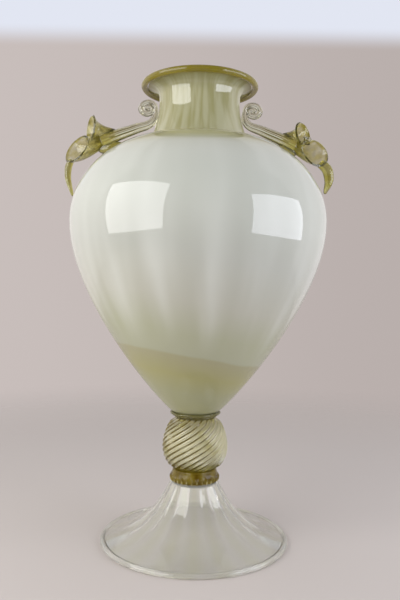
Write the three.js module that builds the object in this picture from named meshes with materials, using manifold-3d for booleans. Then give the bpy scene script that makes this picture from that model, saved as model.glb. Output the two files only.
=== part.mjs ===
// Footed amphora vase of blown glass with two applied handles, standing on its foot.
// Sizes are in millimetres. +Z is up, the origin is the centre of the foot's underside,
// and the handles stand out along -X and +X.

import * as THREE from 'three';
import { mergeVertices } from 'three/addons/utils/BufferGeometryUtils.js';
import Module from 'manifold-3d';

const wasm = await Module();
wasm.setup();

// Clearance left at each glass seal between two pieces.
const seal = 0.3;

// Foot: a trumpet blown open at the bottom, with a clear thread round its edge.
const footRadius = 92.4;
const footHeight = 56;
const footTopRadius = 23.2;
const footWall = 2.6;
const footCrown = 5;
const footTopSlope = 66.7;
const footTopReach = 26;
const footEdgeSlope = 12.6;
const footEdgeReach = 35;
const footThread = 2.3;
const restWidth = 2.4;

// Collar: the crimped bit between foot and knop.
const collarHeight = 13;
const collarTopRadius = 21.5;
const collarRadius = 23.7;
const collarFootRadius = 22.6;
const collarWaistRadius = 22.4;
const crimpCount = 30;
const crimpDepth = 0.7;
const crimpHeight = 5;

// Knop: a hollow ball with swirled ribs, open at both ends.
const knopHeight = 52;
const knopRadius = 31.2;
const knopFootRadius = 21;
const knopTopRadius = 20;
const knopWall = 3.2;
const knopBore = 12;
const knopMiddle = 24;
const knopEndSlope = 40;
const knopEndReach = 8;
const knopSideReach = 10.5;
const ribCount = 22;
const ribDepth = 1.1;
const knopTwist = 150;

// Merese: the dished disc that carries the bowl.
const mereseRadius = 25.3;
const mereseFloor = 3.4;
const mereseRim = 2.5;
const mereseDish = 6.2;
const mereseWaistRadius = 22;
const mereseWaistHeight = 1.9;

// Bowl: an inverted pear, widest at the shoulder.
const bowlRadius = 126.4;
const bowlHeight = 271.2;
const bowlWidest = 189.1;
const bowlBaseRadius = 15;
const bowlWall = 4;
const bowlFloor = 6;
const bowlTurnRadius = 29;
const bowlTurnHeight = 7.8;
const bowlTurnReach = 10.5;
const bowlLowerSlope = 45.2;
const bowlLowerReach = 42;
const bowlSideReach = 67;
const bowlShoulderReach = 42;
const bowlUpperSlope = 7.5;
const bowlUpperReach = 42;

// Neck: waisted, opening to a wide lip with a thread round its edge.
const neckHeight = 54.9;
const neckFootRadius = 50;
const neckWaistRadius = 40.3;
const neckWaistHeight = 42.4;
const neckWall = 4;
const neckFootSlope = 132;
const neckFootReach = 6;
const neckWaistReach = 12;
const lipRadius = 58.3;
const lipRise = 7.5;
const lipReach = 11;
const lipSlope = 20;
const lipEdge = 1.8;
const lipThread = 2;

// Handles: each a ribbed rod that leaves the shoulder, climbs to the neck and curls out.
const rodRadius = 6.4;
const rodNeckRadius = 4.4;
const rodCurlRadius = 2.7;
const rodTipRadius = 2;
const rodNeckShare = 0.45;
const rodCurlShare = 0.62;
const rodRibs = 8;
const rodRibDepth = 0.5;
const rodSag = 0.8;
const rodTouchDrop = 34;
const scrollRadius = 9.8;
const scrollFlatness = 0.86;
const scrollDrop = 21.5;
const scrollTurns = 1.08;
const scrollEye = 1.9;
const scrollOpen = 0.35;
const scrollGap = 1.2;
const padLength = 11.5;
const padBreadth = 5.5;
const padBite = 2;
const leafWall = 1.6;
const leafFloor = 0.25;
const leafRootPull = 0.4;
const leafMouthPull = 0.3;
const smallLeafStem = 5;
const smallLeafFlare = 3.4;
const largeLeafFlare = 1.1;
const tailBreadth = 5;
const tailRootSwell = 50;
const tailTipSwell = 167;
const tailFullness = 0.7;

// Each handle is drawn out by hand, so the two differ a little. The rod ends inset from
// the bowl's widest radius and lifted above the shoulder. The leaves and the tail are
// placed from that end, as [outward, upward]. Rises and turns are in degrees. The scroll
// stands off the neck and hangs lower by its own scrollOff and scrollFall.
const leftHandle = {
  name: 'left',
  side: -1,
  inset: 29,
  lift: 20.4,
  scrollOff: 0,
  scrollFall: 0,
  padBack: 8,
  smallBack: 14.7,
  smallLift: 3.2,
  smallReach: [24.3, 4.2],
  smallRadius: 11.8,
  smallRise: 4,
  smallTurn: 30,
  largeReach: [25.5, -8],
  largeRadius: 15.4,
  largeRise: 36,
  largeTurn: 42,
  tail: [[30, -19], [33, -27], [33, -38], [28.6, -54]],
  tailRadius: 3.4,
};
const rightHandle = {
  name: 'right',
  side: 1,
  inset: 30.4,
  lift: 17,
  scrollOff: 1.6,
  scrollFall: 1.5,
  padBack: 8,
  smallBack: 15.5,
  smallLift: 2,
  smallReach: [21.7, 3.7],
  smallRadius: 11.2,
  smallRise: 12,
  smallTurn: 42,
  largeReach: [20.5, -6.6],
  largeRadius: 13.2,
  largeRise: 38,
  largeTurn: 60,
  tail: [[25, -16], [32.2, -23], [34.2, -34], [30.8, -45.5]],
  tailRadius: 5.3,
};

// Fineness of the facets.
const wheelSteps = 40;
const finePerRib = 3;
const finePerCrimp = 3;
const curveSteps = 5;
const threadSteps = 7;
const rodSteps = 26;
const curlSteps = 16;
const leafSteps = 6;
const tailSteps = 9;
const ringPoints = 16;
const padRings = 10;

// Levels of the seals, from the ground up.
const collarLevel = footHeight;
const knopLevel = collarLevel + collarHeight;
const mereseLevel = knopLevel + knopHeight;
const bowlLevel = mereseLevel + mereseFloor;
const neckLevel = bowlLevel + bowlHeight;
const lipLevel = neckLevel + neckHeight;

const radians = THREE.MathUtils.degToRad;
const lerp = THREE.MathUtils.lerp;

function at(radius, height) {
  return new THREE.Vector2(radius, height);
}

// A point at a distance from another, in a direction given in degrees above outward.
function from(point, degrees, distance) {
  const angle = radians(degrees);
  return at(point.x + distance * Math.cos(angle), point.y + distance * Math.sin(angle));
}

function bend(start, startHandle, endHandle, end, steps = curveSteps) {
  return new THREE.CubicBezierCurve(start, startHandle, endHandle, end).getPoints(steps);
}

// Moves an open outline sideways, to the right of its direction of travel.
function offset(points, distance) {
  return points.map((point, i) => {
    const before = points[Math.max(i - 1, 0)];
    const after = points[Math.min(i + 1, points.length - 1)];
    const along = after.clone().sub(before).normalize();
    return at(point.x + along.y * distance, point.y - along.x * distance);
  });
}

// Every second point of an outline, with both of its ends.
function thinned(points) {
  return points.filter((point, i) => i % 2 === 0 || i === points.length - 1);
}

// Joins equal corners, keeps positions only and drops triangles that have no area.
function closed(geometry) {
  const bare = geometry.clone();
  bare.deleteAttribute('normal');
  bare.deleteAttribute('uv');
  const merged = mergeVertices(bare, 1e-4);
  const index = merged.index.array;
  const kept = [];
  for (let i = 0; i < index.length; i += 3) {
    const [a, b, c] = [index[i], index[i + 1], index[i + 2]];
    if (a !== b && b !== c && c !== a) kept.push(a, b, c);
  }
  merged.setIndex(kept);
  return merged;
}

function toManifold(geometry) {
  const mesh = closed(geometry);
  return new wasm.Manifold(new wasm.Mesh({
    numProp: 3,
    vertProperties: new Float32Array(mesh.attributes.position.array),
    triVerts: new Uint32Array(mesh.index.array),
  }));
}

// Cuts pieces of neighbouring glass out of a body.
function cut(geometry, neighbours) {
  let body = toManifold(geometry);
  for (const neighbour of neighbours) body = body.subtract(toManifold(neighbour));
  const mesh = body.getMesh();
  const result = new THREE.BufferGeometry();
  result.setAttribute('position', new THREE.BufferAttribute(mesh.vertProperties, 3));
  result.setIndex(new THREE.BufferAttribute(mesh.triVerts, 1));
  return result;
}

// Turns an outline about Z. It runs from the axis round the glass and back to the axis,
// or closes on itself, with the outside of the glass on its right.
function turned(outline, steps = wheelSteps) {
  const geometry = new THREE.LatheGeometry(outline, steps);
  geometry.rotateX(Math.PI / 2);
  return closed(geometry);
}

// Moves every corner of a turned body by a rule of its radius, angle and height.
function reshaped(geometry, rule) {
  const place = geometry.attributes.position;
  for (let i = 0; i < place.count; i += 1) {
    const angle = Math.atan2(place.getY(i), place.getX(i));
    const radius = Math.hypot(place.getX(i), place.getY(i));
    const [newRadius, newAngle] = rule(radius, angle, place.getZ(i));
    place.setXY(i, newRadius * Math.cos(newAngle), newRadius * Math.sin(newAngle));
  }
  return geometry;
}

// A closed skin over a row of rings of equally many points, each counter-clockwise about
// the way the row runs.
function lofted(rings) {
  const count = rings[0].length;
  const corners = rings.flat();
  const faces = [];
  for (let i = 0; i + 1 < rings.length; i += 1) {
    for (let j = 0; j < count; j += 1) {
      const a = i * count + j;
      const b = i * count + ((j + 1) % count);
      faces.push(a, b, b + count, a, b + count, a + count);
    }
  }
  const caps = [[rings[0], 0, true], [rings[rings.length - 1], (rings.length - 1) * count, false]];
  for (const [ring, first, back] of caps) {
    const middle = ring.reduce((sum, p) => sum.add(p), new THREE.Vector3()).divideScalar(count);
    corners.push(middle);
    for (let j = 0; j < count; j += 1) {
      const a = first + j;
      const b = first + ((j + 1) % count);
      faces.push(corners.length - 1, back ? b : a, back ? a : b);
    }
  }
  const geometry = new THREE.BufferGeometry().setFromPoints(corners);
  geometry.setIndex(faces);
  return geometry;
}

function mirrored(geometry) {
  const copy = geometry.clone();
  copy.scale(-1, 1, 1);
  const index = Array.from(copy.index.array);
  for (let i = 0; i < index.length; i += 3) [index[i], index[i + 1]] = [index[i + 1], index[i]];
  copy.setIndex(index);
  return copy;
}

// An oval ring across a direction, in the plane of a handle.
function oval(centre, along, inPlane, across, ripple = () => 1) {
  const ring = [];
  const side = new THREE.Vector3(0, 1, 0);
  const normal = new THREE.Vector3().crossVectors(side, along).normalize();
  const width = new THREE.Vector3().crossVectors(along, normal).normalize();
  for (let j = 0; j < ringPoints; j += 1) {
    const angle = (j / ringPoints) * 2 * Math.PI;
    const swell = ripple(j);
    ring.push(centre.clone()
      .addScaledVector(normal, inPlane * Math.cos(angle) * swell)
      .addScaledVector(width, across * Math.sin(angle) * swell));
  }
  return ring;
}

// Outlines of the turned pieces

function footOutside() {
  const top = at(footTopRadius, footHeight);
  const edge = at(footRadius - 2 * footThread - seal, footThread + footWall / 2);
  return bend(
    edge, from(edge, 180 - footEdgeSlope, footEdgeReach),
    from(top, -footTopSlope, footTopReach), top, 2 * curveSteps,
  );
}

function foot() {
  const outside = footOutside();
  const crown = footHeight - footCrown;
  const inside = thinned(offset(outside, -footWall).reverse())
    .filter((point) => point.y < crown - footWall / 2);
  return turned([
    at(0, crown), at(inside[0].x - footWall, crown), ...inside, ...outside, at(0, footHeight),
  ]);
}

// A thread of glass laid round an edge, pressed flat below where it rests on the ground.
function thread(radius, level, thickness, flatWidth) {
  const outline = [];
  const flatLevel = level - Math.sqrt(thickness ** 2 - (flatWidth / 2) ** 2);
  const gap = Math.asin(flatWidth / 2 / thickness);
  for (let i = 0; i <= threadSteps; i += 1) {
    const angle = lerp(-Math.PI / 2 + gap, 1.5 * Math.PI - gap, i / threadSteps);
    outline.push(at(radius + thickness * Math.cos(angle), level + thickness * Math.sin(angle)));
  }
  outline[0].y = flatLevel;
  outline[threadSteps].y = flatLevel;
  outline.push(outline[0].clone());
  return turned(outline);
}

function footRim() {
  const flatRise = Math.sqrt(footThread ** 2 - (restWidth / 2) ** 2);
  return thread(footRadius - footThread, flatRise, footThread, restWidth);
}

function collar() {
  const widest = collarLevel + crimpHeight;
  const plain = turned([
    at(0, collarLevel), at(collarFootRadius, collarLevel),
    at(collarRadius, collarLevel + crimpHeight / 2), at(collarRadius, widest),
    at(collarWaistRadius, (widest + knopLevel) / 2),
    at(collarTopRadius, knopLevel), at(0, knopLevel),
  ], crimpCount * finePerCrimp);
  return reshaped(plain, (radius, angle, height) => {
    const crimped = height > collarLevel && height < widest + seal && radius > collarTopRadius;
    const ripple = crimped ? crimpDepth * Math.cos(angle * crimpCount) : 0;
    return [radius + ripple, angle];
  });
}

function knop() {
  const low = at(knopFootRadius, knopLevel);
  const high = at(knopTopRadius, mereseLevel);
  const widest = at(knopRadius, knopLevel + knopMiddle);
  const lower = bend(
    low, from(low, knopEndSlope, knopEndReach), at(widest.x, widest.y - knopSideReach), widest,
  );
  const upper = bend(
    widest, at(widest.x, widest.y + knopSideReach), from(high, -knopEndSlope, knopEndReach), high,
  );
  const outside = [...lower, ...upper.slice(1)];
  const inside = offset(outside, -knopWall).reverse()
    .filter((p, i) => i % 2 === 0 && p.y < mereseLevel - knopWall && p.y > knopLevel + knopWall);
  const body = turned([
    at(knopBore, knopLevel), ...outside, at(knopBore, mereseLevel), ...inside, at(knopBore, knopLevel),
  ], ribCount * finePerRib);
  return reshaped(body, (radius, angle, height) => {
    const share = (height - knopLevel) / knopHeight;
    const fade = Math.sqrt(Math.max(Math.sin(Math.PI * share), 0));
    const ripple = radius > knopBore + seal ? ribDepth * fade * Math.cos(angle * ribCount) : 0;
    return [radius + ripple, angle + radians(knopTwist) * share];
  });
}

function bowlOutside() {
  const base = at(bowlBaseRadius, bowlLevel);
  const turn = at(bowlTurnRadius, bowlLevel + bowlTurnHeight);
  const widest = at(bowlRadius, bowlLevel + bowlWidest);
  const top = at(neckFootRadius + seal, neckLevel);
  const beneath = new THREE.QuadraticBezierCurve(
    base, from(turn, 180 + bowlLowerSlope, bowlTurnReach), turn,
  ).getPoints(3);
  const lower = bend(
    turn, from(turn, bowlLowerSlope, bowlLowerReach),
    at(widest.x, widest.y - bowlSideReach), widest, 2 * curveSteps - 1,
  );
  const upper = bend(
    widest, at(widest.x, widest.y + bowlShoulderReach),
    from(top, -bowlUpperSlope, bowlUpperReach), top, 2 * curveSteps - 2,
  );
  return [...beneath, ...lower.slice(1), ...upper.slice(1)];
}

function bowl() {
  const outside = bowlOutside();
  const floor = bowlLevel + bowlFloor;
  const mouth = neckFootRadius - neckWall;
  const inside = thinned(offset(outside, -bowlWall).reverse())
    .filter((point) => point.y > floor + 1 && point.x > mouth && point.y < neckLevel - bowlWall);
  return turned([
    at(0, bowlLevel), ...outside, at(mouth, neckLevel), at(mouth, neckLevel - bowlWall),
    ...inside, at(bowlBaseRadius, floor), at(0, floor),
  ]);
}

// The bowl without its hollow, grown by the clearance of a seal.
function bowlBlank() {
  const skin = offset(bowlOutside(), seal);
  return turned([at(0, bowlLevel - seal), ...skin, at(0, neckLevel)]);
}

function merese() {
  const bed = offset(bowlOutside(), seal).filter((point) => point.x < mereseRadius - mereseRim);
  const bead = mereseRim / 2;
  const middle = at(mereseRadius - bead, mereseLevel + mereseDish - bead);
  return turned([
    at(0, mereseLevel), at(knopTopRadius - seal, mereseLevel),
    at(mereseWaistRadius, mereseLevel + mereseWaistHeight),
    ...[-50, -10, 30, 70, 110].map((degrees) => from(middle, degrees, bead)),
    ...bed.reverse().map((p, i, all) => (i === all.length - 1 ? at(p.x, bowlLevel) : p)),
    at(0, bowlLevel),
  ]);
}

function neckOutside() {
  const base = at(neckFootRadius, neckLevel);
  const waist = at(neckWaistRadius, neckLevel + neckWaistHeight);
  const edge = at(lipRadius - 2 * lipThread - seal, lipLevel);
  const stem = bend(
    base, from(base, neckFootSlope, neckFootReach), at(waist.x, waist.y - neckWaistReach), waist,
  );
  const flare = bend(
    waist, at(waist.x, waist.y + lipRise), from(edge, 180 + lipSlope, lipReach), edge,
  );
  return [...stem, ...flare.slice(1)];
}

function neck() {
  const outside = neckOutside();
  const inside = thinned(offset(outside, -neckWall).reverse());
  inside[0] = at(outside[outside.length - 1].x, lipLevel + lipEdge);
  inside[inside.length - 1] = at(neckFootRadius - neckWall, neckLevel);
  return turned([...outside, ...inside, outside[0].clone()]);
}

function neckBlank() {
  const skin = offset(neckOutside(), seal);
  return turned([at(0, neckLevel - seal), ...skin, at(0, lipLevel)]);
}

function lipWrap() {
  return thread(lipRadius - lipThread, lipLevel + seal, lipThread, lipThread / 2);
}

// Outer radius of the neck at a height, for what lies against it.
function neckRadiusAt(height) {
  const outside = neckOutside();
  const i = outside.findIndex((point) => point.y > height);
  const share = (height - outside[i - 1].y) / (outside[i].y - outside[i - 1].y);
  return lerp(outside[i - 1].x, outside[i].x, share);
}

// Height of the bowl's shoulder at a radius.
function shoulderHeightAt(radius) {
  const outside = bowlOutside().reverse();
  const i = outside.findIndex((point) => point.x > radius);
  const share = (radius - outside[i - 1].x) / (outside[i].x - outside[i - 1].x);
  return lerp(outside[i - 1].y, outside[i].y, share);
}

// Handles, drawn on the +X side

function spot(out, height) {
  return new THREE.Vector3(out, 0, height);
}

function rodEnd(handle) {
  const out = bowlRadius - handle.inset;
  return spot(out, shoulderHeightAt(out) + handle.lift);
}

// A place given from the rod's end.
function placed(handle, [out, up]) {
  return rodEnd(handle).add(spot(out, up));
}

// The rod's middle line: from the shoulder to the neck's side, then curling over and out.
function rodLine(handle) {
  const end = rodEnd(handle);
  const touchHeight = lipLevel - rodTouchDrop;
  const touch = spot(neckRadiusAt(touchHeight) + seal + rodNeckRadius, touchHeight);
  const points = [end, end.clone().lerp(touch, 1 / 3), end.clone().lerp(touch, 2 / 3), touch];
  points[2].z -= rodSag;
  const height = lipLevel - scrollDrop - handle.scrollFall;
  const standOff = scrollGap + handle.scrollOff;
  const centre = spot(neckRadiusAt(height) + standOff + scrollRadius, height);
  const outerTurn = scrollRadius - rodCurlRadius;
  for (let i = 0; i <= curlSteps; i += 1) {
    const share = i / curlSteps;
    const angle = Math.PI * (1 - 2 * scrollTurns * share);
    const radius = lerp(outerTurn, scrollEye, THREE.MathUtils.smoothstep(share, scrollOpen, 1));
    points.push(new THREE.Vector3(
      centre.x + radius * Math.cos(angle), 0,
      centre.z + radius * Math.sin(angle) * scrollFlatness,
    ));
  }
  return new THREE.CatmullRomCurve3(points);
}

// The rod thins from the shoulder to the neck, and again into its curl.
function rodRadiusAt(share) {
  if (share < rodNeckShare) return lerp(rodRadius, rodNeckRadius, share / rodNeckShare);
  if (share < rodCurlShare) {
    const part = (share - rodNeckShare) / (rodCurlShare - rodNeckShare);
    return lerp(rodNeckRadius, rodCurlRadius, part);
  }
  return lerp(rodCurlRadius, rodTipRadius, (share - rodCurlShare) / (1 - rodCurlShare));
}

function rodBody(handle, grow = 0) {
  const line = rodLine(handle);
  const rings = [];
  for (let i = 0; i <= rodSteps; i += 1) {
    const share = i / rodSteps;
    const radius = rodRadiusAt(share) + grow;
    const ripple = (j) => Math.cos((j * rodRibs * 2 * Math.PI) / ringPoints);
    const ribbed = (j) => 1 + (rodRibDepth / rodRadius) * ripple(j);
    rings.push(oval(line.getPointAt(share), line.getTangentAt(share), radius, radius, ribbed));
  }
  return lofted(rings);
}

function rod(handle) {
  return cut(rodBody(handle), [neckBlank(), bowlBlank()]);
}

// A leaf is a small cup: rings that open from its root to its mouth, which faces outward,
// up by a rise and forward by a turn. Flare says how late it opens.
function leafRings(leaf, grow, fromShare) {
  const rise = radians(leaf.rise);
  const turn = radians(leaf.turn);
  const facing = new THREE.Vector3(
    Math.cos(rise) * Math.cos(turn), -Math.sin(turn), Math.sin(rise) * Math.cos(turn),
  );
  const reach = leaf.root.distanceTo(leaf.mouth);
  const line = new THREE.CubicBezierCurve3(
    leaf.root, leaf.root.clone().addScaledVector(leaf.along, reach * leafRootPull),
    leaf.mouth.clone().addScaledVector(facing, -reach * leafMouthPull), leaf.mouth,
  );
  const rings = [];
  for (let i = 0; i <= leafSteps; i += 1) {
    const share = lerp(fromShare, 1, i / leafSteps);
    const radius = lerp(leaf.rootRadius, leaf.mouthRadius, share ** leaf.flare) + grow;
    rings.push(oval(line.getPoint(share), line.getTangent(share), radius, radius));
  }
  return rings;
}

function smallLeafShape(handle) {
  const line = rodLine(handle);
  const back = line.getTangentAt(0).multiplyScalar(handle.smallBack);
  const root = rodEnd(handle).add(back).add(spot(0, handle.smallLift));
  const mouth = root.clone().add(spot(...handle.smallReach));
  return {
    root,
    mouth,
    along: mouth.clone().sub(root).normalize(),
    rise: handle.smallRise,
    turn: handle.smallTurn,
    rootRadius: smallLeafStem,
    mouthRadius: handle.smallRadius,
    flare: smallLeafFlare,
  };
}

function largeLeafShape(handle) {
  const along = rodLine(handle).getTangentAt(0).negate();
  return {
    root: rodEnd(handle).addScaledVector(along, seal),
    mouth: placed(handle, handle.largeReach),
    along,
    rise: handle.largeRise,
    turn: handle.largeTurn,
    rootRadius: rodRadius,
    mouthRadius: handle.largeRadius,
    flare: largeLeafFlare,
  };
}

function cup(leaf) {
  const outside = leafRings(leaf, 0, 0);
  const inside = leafRings(leaf, -leafWall, leafFloor).reverse();
  return lofted([...outside, ...inside]);
}

function largeLeafBlank(handle) {
  return lofted(leafRings(largeLeafShape(handle), seal, 0));
}

function largeLeaf(handle) {
  return cut(cup(largeLeafShape(handle)), [bowlBlank(), rodBody(handle, seal)]);
}

function smallLeaf(handle) {
  return cut(cup(smallLeafShape(handle)), [rodBody(handle, seal), largeLeafBlank(handle)]);
}

// The tail hangs from the large leaf, widest below its root and drawn out to a tip.
function tail(handle) {
  const line = new THREE.CatmullRomCurve3(handle.tail.map((place) => placed(handle, place)));
  const rings = [];
  for (let i = 0; i <= tailSteps; i += 1) {
    const share = i / tailSteps;
    const swell = Math.sin(radians(lerp(tailRootSwell, tailTipSwell, share))) ** tailFullness;
    rings.push(oval(
      line.getPointAt(share), line.getTangentAt(share),
      handle.tailRadius * swell, tailBreadth * swell,
    ));
  }
  return cut(lofted(rings), [largeLeafBlank(handle), bowlBlank()]);
}

// The pad of hot glass that seals the rod to the shoulder, pressed between the two.
function pad(handle) {
  const line = rodLine(handle);
  const over = rodEnd(handle).addScaledVector(line.getTangentAt(0), handle.padBack);
  const top = over.z - rodRadius;
  const bottom = shoulderHeightAt(over.x);
  const body = new THREE.SphereGeometry(1, ringPoints, padRings);
  body.scale(padLength, padBreadth, (top - bottom) / 2 + padBite);
  body.translate(over.x, 0, (top + bottom) / 2);
  return cut(body, [bowlBlank(), rodBody(handle, seal), largeLeafBlank(handle)]);
}

// Colours and finishes of the glass
const glass = {
  clear: { color: 0xc9c8b8, roughness: 0.06, metalness: 0 },
  rod: { color: 0xa8a58a, roughness: 0.06, metalness: 0 },
  gold: { color: 0x8f8548, roughness: 0.12, metalness: 0.1 },
  knop: { color: 0xa39b70, roughness: 0.12, metalness: 0.1 },
  collar: { color: 0x6b5a14, roughness: 0.1, metalness: 0 },
  merese: { color: 0x4f4a1e, roughness: 0.08, metalness: 0 },
  milk: { color: 0xc8cac4, roughness: 0.1, metalness: 0 },
  olive: { color: 0x9c9868, roughness: 0.08, metalness: 0 },
  wrap: { color: 0x7c7440, roughness: 0.08, metalness: 0 },
};

const vase = new THREE.Group();

function add(name, geometry, finish) {
  const mesh = new THREE.Mesh(closed(geometry), new THREE.MeshStandardMaterial(finish));
  mesh.name = name;
  vase.add(mesh);
}

add('foot', foot(), glass.clear);
add('foot_rim', footRim(), glass.clear);
add('collar', collar(), glass.collar);
add('knop', knop(), glass.knop);
add('merese', merese(), glass.merese);
add('bowl', bowl(), glass.milk);
add('neck', neck(), glass.olive);
add('lip_wrap', lipWrap(), glass.wrap);

for (const handle of [leftHandle, rightHandle]) {
  const place = handle.side < 0 ? mirrored : (geometry) => geometry;
  add(`${handle.name}_handle_rod`, place(rod(handle)), glass.rod);
  add(`${handle.name}_shoulder_pad`, place(pad(handle)), glass.gold);
  add(`${handle.name}_small_leaf`, place(smallLeaf(handle)), glass.gold);
  add(`${handle.name}_large_leaf`, place(largeLeaf(handle)), glass.gold);
  add(`${handle.name}_tail`, place(tail(handle)), glass.gold);
}

export default vase;
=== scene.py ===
# Footed amphora vase of blown glass, laid out as an add-on. Lengths are in metres, +Z is up,
# the front is towards -Y and the handles stand out along -X and +X.

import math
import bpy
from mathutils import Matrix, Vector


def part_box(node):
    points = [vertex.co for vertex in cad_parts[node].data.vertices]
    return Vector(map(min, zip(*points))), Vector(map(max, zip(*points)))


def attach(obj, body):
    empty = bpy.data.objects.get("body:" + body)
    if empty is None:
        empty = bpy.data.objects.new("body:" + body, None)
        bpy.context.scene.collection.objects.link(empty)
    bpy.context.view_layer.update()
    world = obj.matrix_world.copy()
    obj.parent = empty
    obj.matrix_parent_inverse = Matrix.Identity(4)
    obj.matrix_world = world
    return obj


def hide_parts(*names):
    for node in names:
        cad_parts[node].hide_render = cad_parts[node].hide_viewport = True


bl_info = {
    "name": "Footed Amphora Vase",
    "version": (1, 0, 0),
    "blender": (4, 5, 0),
    "location": "View3D > Sidebar > Amphora Vase",
    "description": "Models a footed amphora vase of blown glass with scrolled leaf handles",
    "category": "Add Mesh",
}

import bpy
from bpy.props import (
    EnumProperty, FloatProperty, FloatVectorProperty, IntProperty, PointerProperty,
)
from mathutils import Vector
from mathutils.geometry import interpolate_bezier

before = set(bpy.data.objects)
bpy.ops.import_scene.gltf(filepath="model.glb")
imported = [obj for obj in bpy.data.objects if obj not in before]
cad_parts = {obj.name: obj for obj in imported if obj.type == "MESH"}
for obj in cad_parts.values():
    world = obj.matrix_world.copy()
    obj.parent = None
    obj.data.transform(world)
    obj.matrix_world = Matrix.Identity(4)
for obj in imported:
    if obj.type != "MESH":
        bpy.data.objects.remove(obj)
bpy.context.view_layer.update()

# How much higher the collar is drawn up than its solid.
COLLAR_RISE = 0.0025

# Levels of the glass seals, read from the frame.
FOOT_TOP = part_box("collar")[0].z + COLLAR_RISE
KNOP_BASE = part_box("knop")[0].z + COLLAR_RISE
MERESE_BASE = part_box("merese")[0].z
BOWL_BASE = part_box("bowl")[0].z
NECK_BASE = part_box("neck")[0].z
VASE_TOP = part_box("lip_wrap")[1].z

# Clearance between two pieces of glass where they are sealed together.
SEAL = 0.0003

# Attribute of a leaf's corners: how deep the glass looks there, from 0 to 1.
GLASS_DEPTH = "glass_depth"


def length(name, default, description):
    return FloatProperty(
        name=name, description=description, default=default, min=0.0,
        unit="LENGTH", subtype="DISTANCE", precision=4,
    )


def angle(name, degrees, description):
    return FloatProperty(
        name=name, description=description, default=math.radians(degrees), subtype="ANGLE",
    )


def number(name, default, description):
    return IntProperty(name=name, description=description, default=default, min=3)


def spot(name, default, description):
    """A place in the handle's plane, as the way to it outward and up."""
    return FloatVectorProperty(
        name=name, description=description, default=default, size=2, unit="LENGTH",
    )


def linear(code):
    """The linear colour of an sRGB hex code, with full alpha."""
    channels = [int(code[i:i + 2], 16) / 255 for i in (1, 3, 5)]
    return tuple(
        c / 12.92 if c <= 0.04045 else ((c + 0.055) / 1.055) ** 2.4 for c in channels
    ) + (1.0,)


def colour(name, code, description):
    return FloatVectorProperty(
        name=name, description=description, default=linear(code), size=4,
        subtype="COLOR", min=0.0, max=1.0,
    )


class VaseSizes(bpy.types.PropertyGroup):
    """Sizes of the turned pieces."""

    foot_radius: length("Foot radius", 0.0924, "Radius at the outside of the foot's clear edge")
    foot_top_radius: length("Foot top radius", 0.0232, "Radius where the foot meets the collar")
    foot_wall: length("Foot wall", 0.0026, "Thickness of the foot's glass")
    foot_thread: length("Foot thread", 0.0023, "Radius of the thread round the foot's edge")
    rest_width: length("Rest width", 0.0024, "Width of the flat that the foot stands on")
    foot_ribs: number("Foot ribs", 18, "Number of optic ribs round the foot")
    foot_rib_depth: length("Foot rib depth", 0.0009, "Height of the foot's optic ribs")

    collar_radius: length("Collar radius", 0.0237, "Radius at the collar's crimped edge")
    collar_top_radius: length("Collar top radius", 0.0215, "Radius under the knop")
    collar_foot_radius: length("Collar foot radius", 0.0226, "Radius on top of the foot")
    collar_waist_radius: length("Collar waist radius", 0.0224, "Radius above the crimps")
    crimp_height: length("Crimp height", 0.005, "Height of the crimped edge")
    crimp_depth: length("Crimp depth", 0.0007, "How far the crimps stand out")
    crimps: number("Crimps", 30, "Number of crimps round the collar")

    knop_radius: length("Knop radius", 0.0312, "Radius of the knop between its ribs and crests")
    knop_foot_radius: length("Knop foot radius", 0.021, "Radius where the knop meets the collar")
    knop_top_radius: length("Knop top radius", 0.02, "Radius where the knop meets the merese")
    knop_middle: length("Knop middle", 0.0215, "Height of the knop's widest ring above its foot")
    knop_wall: length("Knop wall", 0.0032, "Thickness of the knop's glass")
    knop_ribs: number("Knop ribs", 22, "Number of swirled ribs round the knop")
    knop_rib_depth: length("Knop rib depth", 0.0011, "Height of the knop's ribs")
    knop_twist: angle("Knop twist", 150, "Turn of a rib from the foot of the knop to its top")

    merese_radius: length("Merese radius", 0.0253, "Radius of the disc under the bowl")
    merese_rim: length("Merese rim", 0.0025, "Thickness of the merese's rolled rim")
    merese_dish: length("Merese dish", 0.0062, "Height of the merese at its rim")
    merese_waist_radius: length("Merese waist radius", 0.022, "Radius below the rolled rim")
    merese_waist_height: length("Merese waist height", 0.0019, "Height of that waist")

    bowl_radius: length("Bowl radius", 0.1264, "Radius of the bowl at its shoulder")
    bowl_widest: length("Bowl widest", 0.1891, "Height of the widest ring above the bowl's base")
    bowl_base_radius: length("Bowl base radius", 0.015, "Radius of the bowl's flat base")
    bowl_turn_radius: length("Bowl turn radius", 0.029, "Radius where the base turns upward")
    bowl_turn_height: length("Bowl turn height", 0.0078, "Height of that turn")
    bowl_wall: length("Bowl wall", 0.004, "Thickness of the bowl's glass")
    bowl_bands: number("Bowl bands", 17, "Number of faint optic bands round the bowl")

    neck_foot_radius: length("Neck foot radius", 0.05, "Radius where the neck meets the bowl")
    neck_waist_radius: length("Neck waist radius", 0.0403, "Radius at the neck's waist")
    neck_waist_height: length("Neck waist height", 0.0335, "Height of the waist above the bowl")
    neck_height: length("Neck height", 0.053, "Height of the lip's edge above the bowl")
    neck_wall: length("Neck wall", 0.004, "Thickness of the neck's glass")
    lip_radius: length("Lip radius", 0.0583, "Radius at the outside of the lip")
    lip_thread: length("Lip thread", 0.0032, "Radius of the thread round the lip")


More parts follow.
